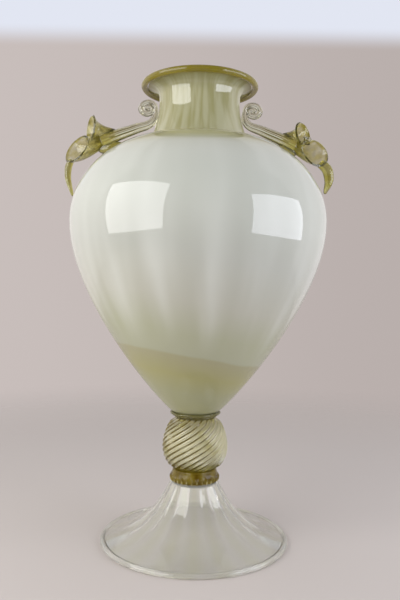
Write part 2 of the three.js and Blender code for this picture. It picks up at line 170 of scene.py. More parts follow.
class HandleSizes:
    """Sizes that the two handles share."""

    rod_radius: length("Rod radius", 0.0064, "Radius of the ribbed rod at the shoulder")
    rod_neck_radius: length("Rod neck radius", 0.0044, "Radius of the rod at the neck")
    rod_curl_radius: length("Rod curl radius", 0.0027, "Radius of the rod in its curl")
    rod_tip_radius: length("Rod tip radius", 0.003, "Radius of the rod at its tip")
    rod_ribs: number("Rod ribs", 8, "Number of ribs along the rod")
    rod_rib_depth: length("Rod rib depth", 0.0005, "Height of the rod's ribs")
    rod_sag: length("Rod sag", 0.0008, "Sag of the rod between shoulder and neck")
    touch_drop: length("Touch drop", 0.0333, "How far below the lip the rod meets the neck")
    scroll_radius: length("Scroll radius", 0.0098, "Outer radius of the scroll")
    scroll_drop: length("Scroll drop", 0.0208, "How far the scroll's middle is below the lip")
    scroll_gap: length("Scroll gap", 0.0012, "Gap between the scroll and the neck")
    scroll_eye: length("Scroll eye", 0.0006, "Radius of the last turn")
    scroll_turn: angle("Scroll turn", 490, "How far the scroll winds")
    leaf_wall: length("Leaf wall", 0.0016, "Thickness of the leaves")
    leaf_bead: length("Leaf bead", 0.0004, "How much fuller the leaves' rims are")
    leaf_stem: length("Leaf stem", 0.0058, "Radius of the small leaf's stem")
    pad_back: length("Pad back", 0.0125, "Distance of the pad from the rod's end")
    pad_length: length("Pad length", 0.0165, "Half length of the pad on the shoulder")
    pad_breadth: length("Pad breadth", 0.0055, "Half breadth of the pad")
    pad_bite: length("Pad bite", 0.002, "How far the pad wraps up round the rod")
    tail_breadth: length("Tail breadth", 0.005, "Half breadth of the tail, front to back")


class LeftHandle(HandleSizes, bpy.types.PropertyGroup):
    """Sizes of the handle on the -X side."""

    side: IntProperty(name="Side", description="Direction along X", default=-1)
    inset: length("Inset", 0.029, "How far the rod's end is inside the bowl's widest radius")
    lift: length("Lift", 0.0204, "Height of the rod's end above the shoulder")
    scroll_off: length("Scroll off", 0.0, "How far the scroll stands off the neck")
    scroll_fall: length("Scroll fall", 0.0, "How much lower the scroll hangs")
    small_back: length("Small leaf back", 0.0125, "Distance of the small leaf's root")
    small_lift: length("Small leaf lift", 0.0022, "Height of that root above the rod's middle")
    small_reach: spot("Small leaf reach", (0.0221, 0.0052), "From the small leaf's root to its mouth")
    small_radius: length("Small leaf radius", 0.0136, "Radius of the small leaf's mouth")
    small_rise: angle("Small leaf rise", 4, "How far the small leaf's mouth looks up")
    small_turn: angle("Small leaf turn", 26, "How far the small leaf's mouth looks forward")
    large_reach: spot("Large leaf reach", (0.0245, -0.008), "From the rod's end to the large leaf's mouth")
    large_radius: length("Large leaf radius", 0.0161, "Radius of the large leaf's mouth")
    large_rise: angle("Large leaf rise", 36, "How far the large leaf's mouth looks up")
    large_turn: angle("Large leaf turn", 42, "How far the large leaf's mouth looks forward")
    tail_root: spot("Tail root", (0.030, -0.019), "From the rod's end to the tail's root")
    tail_shoulder: spot("Tail shoulder", (0.033, -0.027), "Where the tail turns down")
    tail_belly: spot("Tail belly", (0.033, -0.038), "Where the tail stands out most")
    tail_tip: spot("Tail tip", (0.0286, -0.054), "Where the tail ends")
    tail_radius: length("Tail radius", 0.0034, "Radius of the tail in the handle's plane")


class RightHandle(HandleSizes, bpy.types.PropertyGroup):
    """Sizes of the handle on the +X side, drawn a little shorter and fuller."""

    side: IntProperty(name="Side", description="Direction along X", default=1)
    inset: length("Inset", 0.0304, "How far the rod's end is inside the bowl's widest radius")
    lift: length("Lift", 0.017, "Height of the rod's end above the shoulder")
    scroll_off: length("Scroll off", 0.0016, "How far the scroll stands off the neck")
    scroll_fall: length("Scroll fall", 0.0015, "How much lower the scroll hangs")
    small_back: length("Small leaf back", 0.0135, "Distance of the small leaf's root")
    small_lift: length("Small leaf lift", 0.0012, "Height of that root above the rod's middle")
    small_reach: spot("Small leaf reach", (0.0197, 0.0045), "From the small leaf's root to its mouth")
    small_radius: length("Small leaf radius", 0.0127, "Radius of the small leaf's mouth")
    small_rise: angle("Small leaf rise", 12, "How far the small leaf's mouth looks up")
    small_turn: angle("Small leaf turn", 42, "How far the small leaf's mouth looks forward")
    large_reach: spot("Large leaf reach", (0.0205, -0.0066), "From the rod's end to the large leaf's mouth")
    large_radius: length("Large leaf radius", 0.0147, "Radius of the large leaf's mouth")
    large_rise: angle("Large leaf rise", 38, "How far the large leaf's mouth looks up")
    large_turn: angle("Large leaf turn", 60, "How far the large leaf's mouth looks forward")
    tail_root: spot("Tail root", (0.025, -0.016), "From the rod's end to the tail's root")
    tail_shoulder: spot("Tail shoulder", (0.0322, -0.023), "Where the tail turns down")
    tail_belly: spot("Tail belly", (0.0342, -0.034), "Where the tail stands out most")
    tail_tip: spot("Tail tip", (0.0308, -0.0455), "Where the tail ends")
    tail_radius: length("Tail radius", 0.0053, "Radius of the tail in the handle's plane")


class GlassColours(bpy.types.PropertyGroup):
    """Colours of the glass and the backdrop."""

    milk: colour("Milk glass", "#E0E2DC", "The brightest bands of white glass")
    milk_top: colour("Upper milk glass", "#BFC1B8", "White glass of the bowl's upper half")
    milk_middle: colour("Middle milk glass", "#B8B9B0", "White glass below the shoulder")
    milk_low: colour("Thin milk glass", "#B7B6A8", "White glass where it thins towards the foot")
    gather_edge: colour("Gather edge", "#ADAE94", "White glass just above the gather")
    gather_line: colour("Gather line", "#A5A17F", "The line where the gather ends")
    khaki: colour("Khaki glass", "#A7A371", "The gather in the bowl's lower third")
    pale_green: colour("Pale green glass", "#A6A682", "The bowl's tip")
    # Also painted shade on the bowl's shoulder round the neck
    olive: colour("Olive glass", "#A4A072", "The neck and the shoulder round it")
    neck_cord: colour("Neck cord", "#B8B592", "Pale cords in the neck")
    # Also painted shade at the foot of the knop
    olive_dark: colour("Dark olive glass", "#A09230", "The underside of the lip")
    merese: colour("Merese", "#C6BC68", "The merese where it is thin")
    merese_deep: colour("Deep merese", "#988A1C", "What the merese lets through where it is thick")
    # Painted highlights on the crimps and along the collar's lower edge
    crimp: colour("Crimp", "#D2C686", "The tips of the collar's crimps")
    thread: colour("Thread", "#A0923C", "The thread round the lip")
    gold: colour("Gold glass", "#F0EAC0", "The leaves, tails and pads where they are thin")
    gold_bit: colour("Gold bit", "#D8D080", "The pads and tails where they are deep")
    gold_rim: colour("Gold rim", "#A29A38", "The leaves' thick rims and stems")
    gold_deep: colour("Deep gold glass", "#D6D45C", "What thick gold glass lets through")
    knop: colour("Knop", "#FFFAD4", "The ribbed knop")
    # Painted shade in the knop's grooves and towards its ends; also a tint of the collar's cords
    groove: colour("Groove", "#8C7A2A", "The lines between ribs")
    collar: colour("Collar", "#644E02", "The crimped collar")
    foot: colour("Foot", "#FCFCF0", "The foot's clear glass")
    dust: colour("Dust", "#E4DCB0", "Fine gold dust in the clear glass")
    clear: colour("Clear glass", "#FEFDF8", "The rods and the foot's edge")
    clear_deep: colour("Deep clear glass", "#DEDCAE", "What thick clear glass lets through")
    # Painted shade in the grooves between the rods' ribs
    rod_groove_shade: colour("Rod line", "#7C7636", "The lines along the rods")
    backdrop: colour("Backdrop", "#C8BEBB", "What is behind the vase")
    backdrop_right: colour("Backdrop right", "#B9AFAC", "The backdrop's darker side")
    backdrop_top: colour("Backdrop top", "#E2E6F2", "The backdrop's bright upper edge")
    room: colour("Room", "#66625C", "The unlit room behind the camera, as the glass mirrors it")
    floor: colour("Floor", "#CCC3BF", "The floor")


# Blender helpers

def start_clean():
    if bpy.context.mode != "OBJECT":
        bpy.ops.object.mode_set(mode="OBJECT")
    bpy.ops.object.select_all(action="DESELECT")


def choose(piece):
    """Selects one object and makes it the active one."""
    start_clean()
    piece.select_set(True)
    bpy.context.view_layer.objects.active = piece


def edit_all(piece):
    choose(piece)
    bpy.ops.object.mode_set(mode="EDIT")
    bpy.ops.mesh.select_mode(type="VERT")
    bpy.ops.mesh.select_all(action="SELECT")


def edited(piece, operator, test=None, **settings):
    """Runs an operator in edit mode on a whole piece, or on the corners that pass a test."""
    edit_all(piece)
    if test:
        bpy.ops.mesh.select_all(action="DESELECT")
        bpy.ops.object.mode_set(mode="OBJECT")
        for corner in piece.data.vertices:
            corner.select = test(corner)
        bpy.ops.object.mode_set(mode="EDIT")
    operator(**settings)
    bpy.ops.object.mode_set(mode="OBJECT")


def apply_modifier(piece, kind, **settings):
    choose(piece)
    modifier = piece.modifiers.new(kind.title(), kind)
    for name, value in settings.items():
        setattr(modifier, name, value)
    bpy.ops.object.modifier_apply(modifier=modifier.name)


def subdivided(piece, levels):
    apply_modifier(piece, "SUBSURF", levels=levels, render_levels=levels)


def closed_up(piece):
    """Merges doubles and turns the faces outward."""
    edited(piece, bpy.ops.mesh.remove_doubles, threshold=1e-6)
    edited(piece, bpy.ops.mesh.normals_make_consistent, inside=False)


def finished(piece, name, node, material):
    """Names a piece, gives it its glass and seats it on the frame in place of a node."""
    choose(piece)
    bpy.ops.object.transform_apply(location=True, rotation=True, scale=True)
    bpy.ops.object.shade_smooth_by_angle(angle=math.radians(50))
    piece.name = name
    piece.data.name = name
    piece.data.materials.clear()
    piece.data.materials.append(material)
    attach(piece, "root")
    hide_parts(node)
    start_clean()


# Outlines in radius and height, and pieces turned from them

# A slope is in degrees, and a pull is the length of a curve's handle along it.

def from_point(point, degrees, distance):
    """A point at a distance from another, in a direction in degrees above outward."""
    turn = math.radians(degrees)
    return Vector((point.x + distance * math.cos(turn), point.y + distance * math.sin(turn)))


def straight(start, end):
    return (start, start.lerp(end, 1 / 3), start.lerp(end, 2 / 3), end)


def turned(stretches, fineness, steps, close=False):
    """Draws an outline as a Bezier curve and spins it about Z, with its faces outward."""
    start_clean()
    bpy.ops.curve.primitive_bezier_curve_add(location=(0, 0, 0))
    outline = bpy.context.object
    spline = outline.data.splines[0]
    spline.bezier_points.add(len(stretches) - (2 if close else 1))
    spline.use_cyclic_u = close
    outline.data.resolution_u = fineness
    count = len(spline.bezier_points)
    for point in spline.bezier_points:
        point.handle_left_type = "FREE"
        point.handle_right_type = "FREE"
    for i, (start, start_handle, end_handle, end) in enumerate(stretches):
        first = spline.bezier_points[i]
        second = spline.bezier_points[(i + 1) % count]
        first.co = (start.x, 0, start.y)
        first.handle_right = (start_handle.x, 0, start_handle.y)
        second.co = (end.x, 0, end.y)
        second.handle_left = (end_handle.x, 0, end_handle.y)
    if not close:
        spline.bezier_points[0].handle_left = spline.bezier_points[0].co
    bpy.ops.object.convert(target="MESH")
    edited(
        outline, bpy.ops.mesh.spin, steps=steps, angle=2 * math.pi, center=(0, 0, 0),
        axis=(0, 0, 1),
    )
    closed_up(outline)
    outward = sum(
        face.area * face.normal.xy.dot(face.center.xy) for face in outline.data.polygons
    )
    if outward < 0:
        edited(outline, bpy.ops.mesh.flip_normals)
    return outline


def walled(piece, wall):
    """Gives an outer skin its glass, inward from the skin."""
    apply_modifier(
        piece, "SOLIDIFY", thickness=wall, offset=-1.0, use_even_offset=True,
        use_quality_normals=True,
    )


def raise_crests(piece, count, depth, low, high, inner=0.0):
    """Lifts every crest of a ribbed skin, whose spin has four columns to a rib."""
    pitch = 2 * math.pi / count

    def on_crest(corner):
        around = math.atan2(corner.co.y, corner.co.x) / pitch
        return (
            abs(around - round(around)) < 0.1 and low < corner.co.z < high
            and corner.co.xy.length > inner
        )

    edited(piece, bpy.ops.transform.shrink_fatten, on_crest, value=depth)


def foot_outline(sizes):
    """The trumpet's skin: nearly flat at its edge and steep under the collar."""
    edge_slope = 12.6
    edge_pull = 0.035
    top_slope = 66.7
    top_pull = 0.032
    top = Vector((sizes.foot_top_radius, FOOT_TOP))
    edge = Vector((
        sizes.foot_radius - 2 * sizes.foot_thread - SEAL, sizes.foot_thread + sizes.foot_wall / 2,
    ))
    flare = (
        edge, from_point(edge, 180 - edge_slope, edge_pull),
        from_point(top, -top_slope, top_pull), top,
    )
    return [flare, straight(top, Vector((0, FOOT_TOP)))]


def knop_outline(sizes):
    """A ball that leaves its two narrow ends at the same slope."""
    end_slope = 40
    end_pull = 0.008
    low = Vector((sizes.knop_foot_radius, KNOP_BASE))
    high = Vector((sizes.knop_top_radius, MERESE_BASE))
    widest = Vector((sizes.knop_radius, KNOP_BASE + sizes.knop_middle))
    side_pull = Vector((0, 0.0105))
    return [
        (low, from_point(low, end_slope, end_pull), widest - side_pull, widest),
        (widest, widest + side_pull, from_point(high, -end_slope, end_pull), high),
    ]


def bowl_outline(sizes):
    """The bowl's outer skin, from the middle of its base to the neck."""
    tip_slope = 45.2
    hip_pull = 0.0105
    tip_pull = 0.042
    belly_pull = Vector((0, 0.067))
    shoulder_pull = Vector((0, 0.042))
    top_slope = 7.5
    top_pull = 0.042
    base = Vector((sizes.bowl_base_radius, BOWL_BASE))
    turn = Vector((sizes.bowl_turn_radius, BOWL_BASE + sizes.bowl_turn_height))
    widest = Vector((sizes.bowl_radius, BOWL_BASE + sizes.bowl_widest))
    top = Vector((sizes.neck_foot_radius + SEAL, NECK_BASE))
    hip = from_point(turn, 180 + tip_slope, hip_pull)
    return [
        straight(Vector((0, BOWL_BASE)), base),
        (base, base.lerp(hip, 2 / 3), turn.lerp(hip, 2 / 3), turn),
        (turn, from_point(turn, tip_slope, tip_pull), widest - belly_pull, widest),
        (widest, widest + shoulder_pull, from_point(top, -top_slope, top_pull), top),
    ]


def neck_outline(sizes):
    """The neck's outer skin, from the bowl through the waist to the flared lip."""
    foot_slope = 48
    foot_pull = 0.006
    below_waist = Vector((0, 0.012))
    above_waist = Vector((0, 0.011))
    lip_slope = 18
    lip_pull = 0.013
    base = Vector((sizes.neck_foot_radius, NECK_BASE))
    waist = Vector((sizes.neck_waist_radius, NECK_BASE + sizes.neck_waist_height))
    edge = Vector((
        sizes.lip_radius - 2 * sizes.lip_thread - SEAL, NECK_BASE + sizes.neck_height,
    ))
    return [
        (base, from_point(base, 180 - foot_slope, foot_pull), waist - below_waist, waist),
        (waist, waist + above_waist, from_point(edge, 180 + lip_slope, lip_pull), edge),
    ]


def outline_points(stretches, count=40):
    """Points along an outline, as (radius, height)."""
    points = []
    for stretch in stretches:
        places = [Vector((p.x, p.y, 0)) for p in stretch]
        points += [p.xy for p in interpolate_bezier(*places, count)]
    return points


def crossing(points, value, given, wanted):
    """Where one coordinate of a run of points reaches a value, the other one."""
    for a, b in zip(points, points[1:]):
        if (a[given] - value) * (b[given] - value) <= 0 and a[given] != b[given]:
            share = (value - a[given]) / (b[given] - a[given])
            return a[wanted] + (b[wanted] - a[wanted]) * share
    raise ValueError("The outline never reaches %.4f" % value)


def shoulder_height(sizes, radius):
    return crossing(outline_points(bowl_outline(sizes)[-1:]), radius, 0, 1)


def neck_radius(sizes, height):
    return crossing(outline_points(neck_outline(sizes)), height, 1, 0)


def thread_outline(radius, level, thickness, flat):
    """A round thread with a flat underside, as four arcs and the flat."""
    half = math.asin(flat / 2 / thickness)
    first = -math.pi / 2 + half
    sweep = (2 * math.pi - 2 * half) / 4
    reach = 4 / 3 * math.tan(sweep / 4) * thickness
    middle = Vector((radius, level))

    def arc(turn):
        way = Vector((math.cos(turn), math.sin(turn)))
        return middle + way * thickness, Vector((-way.y, way.x)) * reach

    stretches = []
    for i in range(4):
        start, start_way = arc(first + sweep * i)
        end, end_way = arc(first + sweep * (i + 1))
        stretches.append((start, start + start_way, end - end_way, end))
    stretches.append(straight(stretches[-1][3], stretches[0][0]))
    return stretches


# Handles, drawn in the plane of X and Z

def rod_end(sizes, handle):
    out = sizes.bowl_radius - handle.inset
    return Vector((out, 0, shoulder_height(sizes, out) + handle.lift))


def placed(sizes, handle, reach):
    return rod_end(sizes, handle) + Vector((reach[0], 0, reach[1]))


def smoothstep(value, low, high):
    share = min(max((value - low) / (high - low), 0), 1)
    return share * share * (3 - 2 * share)


def rod_points(sizes, handle):
    """The rod's middle line, from the shoulder to the neck and round its curl."""
    curl_steps = 16
    tightens_from = 0.35
    flatness = 0.86
    lip = VASE_TOP - sizes.lip_thread - SEAL
    end = rod_end(sizes, handle)
    touch_height = lip - handle.touch_drop
    touch_out = neck_radius(sizes, touch_height) + SEAL + handle.rod_neck_radius
    touch = Vector((touch_out, 0, touch_height))
    points = [end, end.lerp(touch, 1 / 3), end.lerp(touch, 2 / 3), touch]
    points[2].z -= handle.rod_sag
    height = lip - handle.scroll_drop - handle.scroll_fall
    out = neck_radius(sizes, height) + handle.scroll_gap + handle.scroll_off + handle.scroll_radius
    outer = handle.scroll_radius - handle.rod_curl_radius
    for i in range(curl_steps + 1):
        share = i / curl_steps
        turn = math.pi - handle.scroll_turn * share
        ease = smoothstep(share, tightens_from, 1)
        radius = outer + (handle.scroll_eye - outer) * ease
        points.append(Vector((
            out + radius * math.cos(turn), 0, height + radius * math.sin(turn) * flatness,
        )))
    return points


def rod_radii(handle, points):
    """The rod thins from the shoulder to the neck, and again into its curl."""
    at_neck = 0.45
    in_curl = 0.62
    runs = [0.0]
    for a, b in zip(points, points[1:]):
        runs.append(runs[-1] + (b - a).length)
    stations = [
        (0.0, handle.rod_radius), (at_neck, handle.rod_neck_radius),
        (in_curl, handle.rod_curl_radius), (1.0, handle.rod_tip_radius),
    ]
    radii = []
    for run in runs:
        share = run / runs[-1]
        for (a, start), (b, end) in zip(stations, stations[1:]):
            if share <= b:
                radii.append(start + (end - start) * (share - a) / (b - a))
                break
        else:
            radii.append(handle.rod_tip_radius)
    return radii


def rounded_end(points, radii):
    """Lets a strand end in a half ball."""
    way = (points[-1] - points[-2]).normalized()
    last, radius = points[-1], radii[-1]
    for degrees in (25, 50, 70, 84):
        turn = math.radians(degrees)
        points = points + [last + way * radius * math.sin(turn)]
        radii = radii + [radius * math.cos(turn)]
    return points, radii


def section(corners, ribs=0, swell=0.0):
    """The cross-section of a strand: a ring, or a ring with ribs."""
    start_clean()
    bpy.ops.mesh.primitive_circle_add(vertices=corners, radius=1.0)
    ring = bpy.context.object
    if ribs:
        per_rib = corners // ribs
        for offset in range(per_rib):
            lift = swell * math.cos(2 * math.pi * offset / per_rib)
            edited(
                ring, bpy.ops.transform.resize, lambda corner: corner.index % per_rib == offset,
                value=(1 + lift, 1 + lift, 1), center_override=(0, 0, 0),
            )
    choose(ring)
    bpy.ops.object.convert(target="CURVE")
    return bpy.context.object


def strand(points, radii, ring, fineness=3):
    """Draws glass smoothly through points, as thick as its radii say."""
    start_clean()
    bpy.ops.curve.primitive_bezier_curve_add(location=(0, 0, 0))
    line = bpy.context.object
    data = line.data
    data.splines[0].bezier_points.add(len(points) - 2)
    for point, place, radius in zip(data.splines[0].bezier_points, points, radii):
        point.co = place
        point.radius = radius
        point.handle_left_type = "AUTO"
        point.handle_right_type = "AUTO"
    data.resolution_u = fineness
    data.twist_mode = "MINIMUM"
    data.bevel_mode = "OBJECT"
    data.bevel_object = ring
    data.use_fill_caps = True
    bpy.ops.object.convert(target="MESH")
    piece = bpy.context.object
    closed_up(piece)
    return piece


def horn(rings, plug=False):
    """Bridges rings, each with a middle, a way and a radius, and closes the first of them."""
    start_clean()
    piece = None
    for middle, way, radius in rings:
        bpy.ops.mesh.primitive_circle_add(
            vertices=40, radius=radius, location=middle,
            rotation=way.to_track_quat("Z", "Y").to_euler(),
        )
        if not piece:
            piece = bpy.context.object
            bpy.ops.object.transform_apply(location=True, rotation=True, scale=True)
            edit_all(piece)
    edited(piece, bpy.ops.mesh.bridge_edge_loops)
    for middle, way, radius in (rings[0], rings[-1]) if plug else (rings[0],):

        def on_ring(corner):
            off = corner.co - middle
            return off.length < radius * 1.01 and abs(off.dot(way)) < 1e-5

        edited(piece, bpy.ops.mesh.edge_face_add, on_ring)
    closed_up(piece)
    return piece


def deleted(piece):
    bpy.data.objects.remove(piece, do_unlink=True)


def mirrored(piece, side):
    """Turns a piece drawn on the +X side over to its own side."""
    if side < 0:
        edited(
            piece, bpy.ops.transform.mirror, constraint_axis=(True, False, False),
            center_override=(0, 0, 0),
        )
        edited(piece, bpy.ops.mesh.normals_make_consistent, inside=False)


def carved(piece, tools):
    """Cuts a piece back from its neighbours."""
    for tool in tools:
        apply_modifier(piece, "BOOLEAN", operation="DIFFERENCE", solver="EXACT", object=tool)
        deleted(tool)
    closed_up(piece)


def leaf_rings(root, mouth, along, rise, turn, root_radius, mouth_radius, flare, grow=0.0):
    """The rings of a leaf, from its root to its mouth. A high flare keeps the stem thin."""
    root_pull = 0.4
    mouth_pull = 0.3
    facing = Vector((
        math.cos(rise) * math.cos(turn), -math.sin(turn), math.sin(rise) * math.cos(turn),
    ))
    reach = (mouth - root).length
    count = 12
    middles = interpolate_bezier(
        root, root + along * reach * root_pull,
        mouth - along.slerp(facing, 0.5) * reach * mouth_pull, mouth, count,
    )
    rings = []
    for i, middle in enumerate(middles):
        share = i / (count - 1)
        radius = root_radius + (mouth_radius - root_radius) * share ** flare + grow
        rings.append((middle, along.slerp(facing, share), radius))
    return rings


def small_leaf_rings(sizes, handle, grow=0.0):
    points = rod_points(sizes, handle)
    back = (points[1] - points[0]).normalized() * handle.small_back
    root = points[0] + back + Vector((0, 0, handle.small_lift))
    mouth = root + Vector((handle.small_reach[0], 0, handle.small_reach[1]))
    along = (mouth - root).normalized()
    return leaf_rings(
        root, mouth, along, handle.small_rise, handle.small_turn,
        handle.leaf_stem, handle.small_radius, flare=3.4, grow=grow,
    )


def large_leaf_rings(sizes, handle, grow=0.0):
    points = rod_points(sizes, handle)
    along = (points[0] - points[1]).normalized()
    root = points[0] + along * SEAL
    mouth = placed(sizes, handle, handle.large_reach)
    return leaf_rings(
        root, mouth, along, handle.large_rise, handle.large_turn,
        handle.rod_radius, handle.large_radius, flare=1.1, grow=grow,
    )


def rod_tool(sizes, handle):
    """The rod with its clearance, to cut its neighbours by."""
    ring = section(32)
    points = rod_points(sizes, handle)
    radii = [radius + SEAL + handle.rod_rib_depth for radius in rod_radii(handle, points)]
    tool = strand(points, radii, ring)
    deleted(ring)
    return tool


def leaf_tool(sizes, handle):
    """The large leaf filled up and with its clearance."""
    return horn(large_leaf_rings(sizes, handle, SEAL), plug=True)


def bowl_tool(sizes):
    """The bowl filled up and with its clearance."""
    skin = bowl_outline(sizes)
    top = skin[-1][3]
    tool = turned(skin + [straight(top, Vector((0, top.y)))], 12, 96)
    edited(tool, bpy.ops.transform.shrink_fatten, value=SEAL)
    return tool


# Node helper and the glass

# A Map Range that eases in and out, and a Mix of two colours.
SOFT = {"interpolation_type": "SMOOTHSTEP"}
TINTS = {"data_type": "RGBA"}


def add_node(tree, kind, inputs, stops=(), **settings):
    """Adds a node with its settings, its ramp stops and its values or links."""
    node = tree.nodes.new("ShaderNode" + kind)
    for name, value in settings.items():
        setattr(node, name, value)
    for i, (place, tint) in enumerate(stops):
        stop = node.color_ramp.elements[i] if i < 2 else node.color_ramp.elements.new(place)
        stop.position = place
        stop.color = tint
    for socket, value in inputs.items():
        if isinstance(value, bpy.types.NodeSocket):
            tree.links.new(value, node.inputs[socket])
        else:
            node.inputs[socket].default_value = value
    return node.outputs


def new_material(name):
    material = bpy.data.materials.new(name)
    material.use_nodes = True
    material.node_tree.nodes.clear()
    return material, material.node_tree


def place_nodes(tree):
    """Where a point of the glass is: its place, the same in parts, and its turn about Z."""
    place = add_node(tree, "TexCoord", {})["Object"]
    parts = add_node(tree, "SeparateXYZ", {0: place})
    turn = add_node(tree, "Math", {0: parts[1], 1: parts[0]}, operation="ARCTAN2")[0]
    return place, parts, turn


def axis_distance(tree, parts):
    across = add_node(tree, "CombineXYZ", {0: parts[0], 1: parts[1]})[0]
    return add_node(tree, "VectorMath", {0: across}, operation="LENGTH")["Value"]


def optic_bands(tree, turn, count, first=0.0):
    """A soft wave from 0 to 1 that repeats round the glass, with a crest at the first turn."""
    wave = add_node(
        tree, "Math", {0: turn, 1: count, 2: -first * count}, operation="MULTIPLY_ADD",
    )[0]
    cosine = add_node(tree, "Math", {0: wave}, operation="COSINE")[0]
    return add_node(tree, "Math", {0: cosine, 1: 0.5, 2: 0.5}, operation="MULTIPLY_ADD")[0]


def bubbled(tree, place, grain, depth):
    """A bump of small seeds and ripples of a size in metres, as hand-worked glass has."""
    ripple = add_node(tree, "TexNoise", {"Vector": place, "Scale": 1 / grain, "Detail": 2.0})["Fac"]
    return add_node(tree, "Bump", {"Height": ripple, "Strength": 0.35, "Distance": depth})[0]


def streaked(tree, per_metre, first, second):
    """Cords of two tints, so many to a metre, as in glass that was worked hot."""
    place = add_node(tree, "TexCoord", {})["Object"]
    streak = add_node(tree, "TexNoise", {"Vector": place, "Scale": per_metre, "Detail": 3.0})["Fac"]
    share = add_node(tree, "MapRange", {0: streak, 1: 0.35, 2: 0.65}, **SOFT)[0]
    return add_node(tree, "Mix", {0: share, 6: first, 7: second}, **TINTS)[2]


def upright_streaks(tree, turn, height, fineness, drawn):
    """Noise drawn out along the height, as cords in blown glass are."""
    around = add_node(tree, "CombineXYZ", {
        0: add_node(tree, "Math", {0: turn}, operation="COSINE")[0],
        1: add_node(tree, "Math", {0: turn}, operation="SINE")[0],
        2: add_node(tree, "Math", {0: height, 1: drawn}, operation="MULTIPLY")[0],
    })[0]
    return add_node(tree, "TexNoise", {"Vector": around, "Scale": fineness, "Detail": 2.0})["Fac"]


def milk_glass(colours, sizes):
    """Opaque white glass cased in clear: soft upright bands under a wet, mirror-smooth skin."""
    material, tree = new_material("milk_glass_cased")
    place, parts, turn = place_nodes(tree)
    radius = axis_distance(tree, parts)
    # Clouds about 70 mm across, and the height that the tints follow, which slopes down to
    # the right as the gather does
    cloud = add_node(tree, "TexNoise", {"Vector": place, "Scale": 14.0, "Detail": 2.0})["Fac"]
    slope = 0.17
    sway = 0.012
    tilted = add_node(
        tree, "Math", {0: parts[0], 1: slope, 2: parts[2]}, operation="MULTIPLY_ADD",
    )[0]
    level = add_node(tree, "Math", {0: cloud, 1: sway, 2: tilted}, operation="MULTIPLY_ADD")[0]
    share = add_node(tree, "MapRange", {0: level, 1: BOWL_BASE, 2: NECK_BASE})[0]
    # The ramp's two ends first, then the heights of the tints between them
    stops = [
        (BOWL_BASE, colours.pale_green), (NECK_BASE, colours.milk_top),
        (0.155, colours.pale_green), (0.173, colours.khaki), (0.1895, colours.gather_line),
        (0.1915, colours.gather_line), (0.1935, colours.gather_edge), (0.213, colours.gather_edge),
        (0.243, colours.milk_low), (0.283, colours.milk_middle), (0.322, colours.milk_top),
    ]
    body = add_node(tree, "ValToRGB", {0: share}, stops=[
        ((height - BOWL_BASE) / (NECK_BASE - BOWL_BASE), tint) for height, tint in stops
    ])["Color"]
    # Bands left by the optic mould, strongest between the gather's edge and the shoulder, and
    # made uneven by cords about 40 mm wide at the shoulder
    cord = upright_streaks(tree, turn, parts[2], 3.0, 2.0)
    swayed = add_node(tree, "Math", {0: cord, 1: 0.25, 2: turn}, operation="MULTIPLY_ADD")[0]
    first_band = -1.33
    band = optic_bands(tree, swayed, sizes.bowl_bands, first_band)
    for share in (
        add_node(tree, "MapRange", {0: cord, 1: 0.3, 2: 0.7}, **SOFT)[0],
        add_node(tree, "MapRange", {0: level, 1: 0.19, 2: 0.235}, **SOFT)[0],
        add_node(tree, "MapRange", {0: parts[2], 1: 0.27, 2: 0.36, 3: 0.45, 4: 0.23}, **SOFT)[0],
    ):
        band = add_node(tree, "Math", {0: band, 1: share}, operation="MULTIPLY")[0]
    lit = add_node(tree, "Mix", {0: band, 6: body, 7: colours.milk}, **TINTS)[2]
    # Olive glass that shows through the casing round the neck, and only on the shoulder; it is also painted
    # shade that darkens the shoulder round the neck
    ring = add_node(tree, "MapRange", {0: radius, 1: 0.1, 2: 0.084, 4: 0.7}, **SOFT)[0]
    shade_halo = add_node(tree, "MapRange", {0: radius, 1: 0.112, 2: 0.09, 4: 0.15}, **SOFT)[0]
    olive = add_node(tree, "Math", {0: ring, 1: shade_halo}, operation="ADD")[0]
    on_top = add_node(tree, "Math", {0: parts[2], 1: 0.34}, operation="GREATER_THAN")[0]
    olive = add_node(tree, "Math", {0: olive, 1: on_top}, operation="MULTIPLY")[0]
    tint = add_node(tree, "Mix", {0: olive, 6: lit, 7: colours.olive}, **TINTS)[2]
    skin = add_node(tree, "BsdfPrincipled", {
        "Base Color": tint, "Roughness": 0.07, "IOR": 1.52, "Specular IOR Level": 0.0,
        "Coat Weight": 1.0, "Coat Roughness": 0.02, "Coat IOR": 1.6,
        "Normal": bubbled(tree, place, 0.03, 0.0004),
    })[0]
    add_node(tree, "OutputMaterial", {"Surface": skin})
    return material


def clear_through(
    name, base, roughness, through, grain, depth, deep=None, density=0.0, shine=0.5,
):
    """Glass that shows what is behind it, and takes on its deep colour where it is thick."""
    material, tree = new_material(name)
    place = add_node(tree, "TexCoord", {})["Object"]
    links = {"Surface": add_node(tree, "BsdfPrincipled", {
        "Base Color": base(tree), "Roughness": roughness, "IOR": 1.52,
        "Transmission Weight": through, "Specular IOR Level": shine,
        "Normal": bubbled(tree, place, grain, depth),
    })[0]}
    if deep:
        links["Volume"] = add_node(tree, "VolumeAbsorption", {"Color": deep, "Density": density})[0]
    add_node(tree, "OutputMaterial", links)
    return material


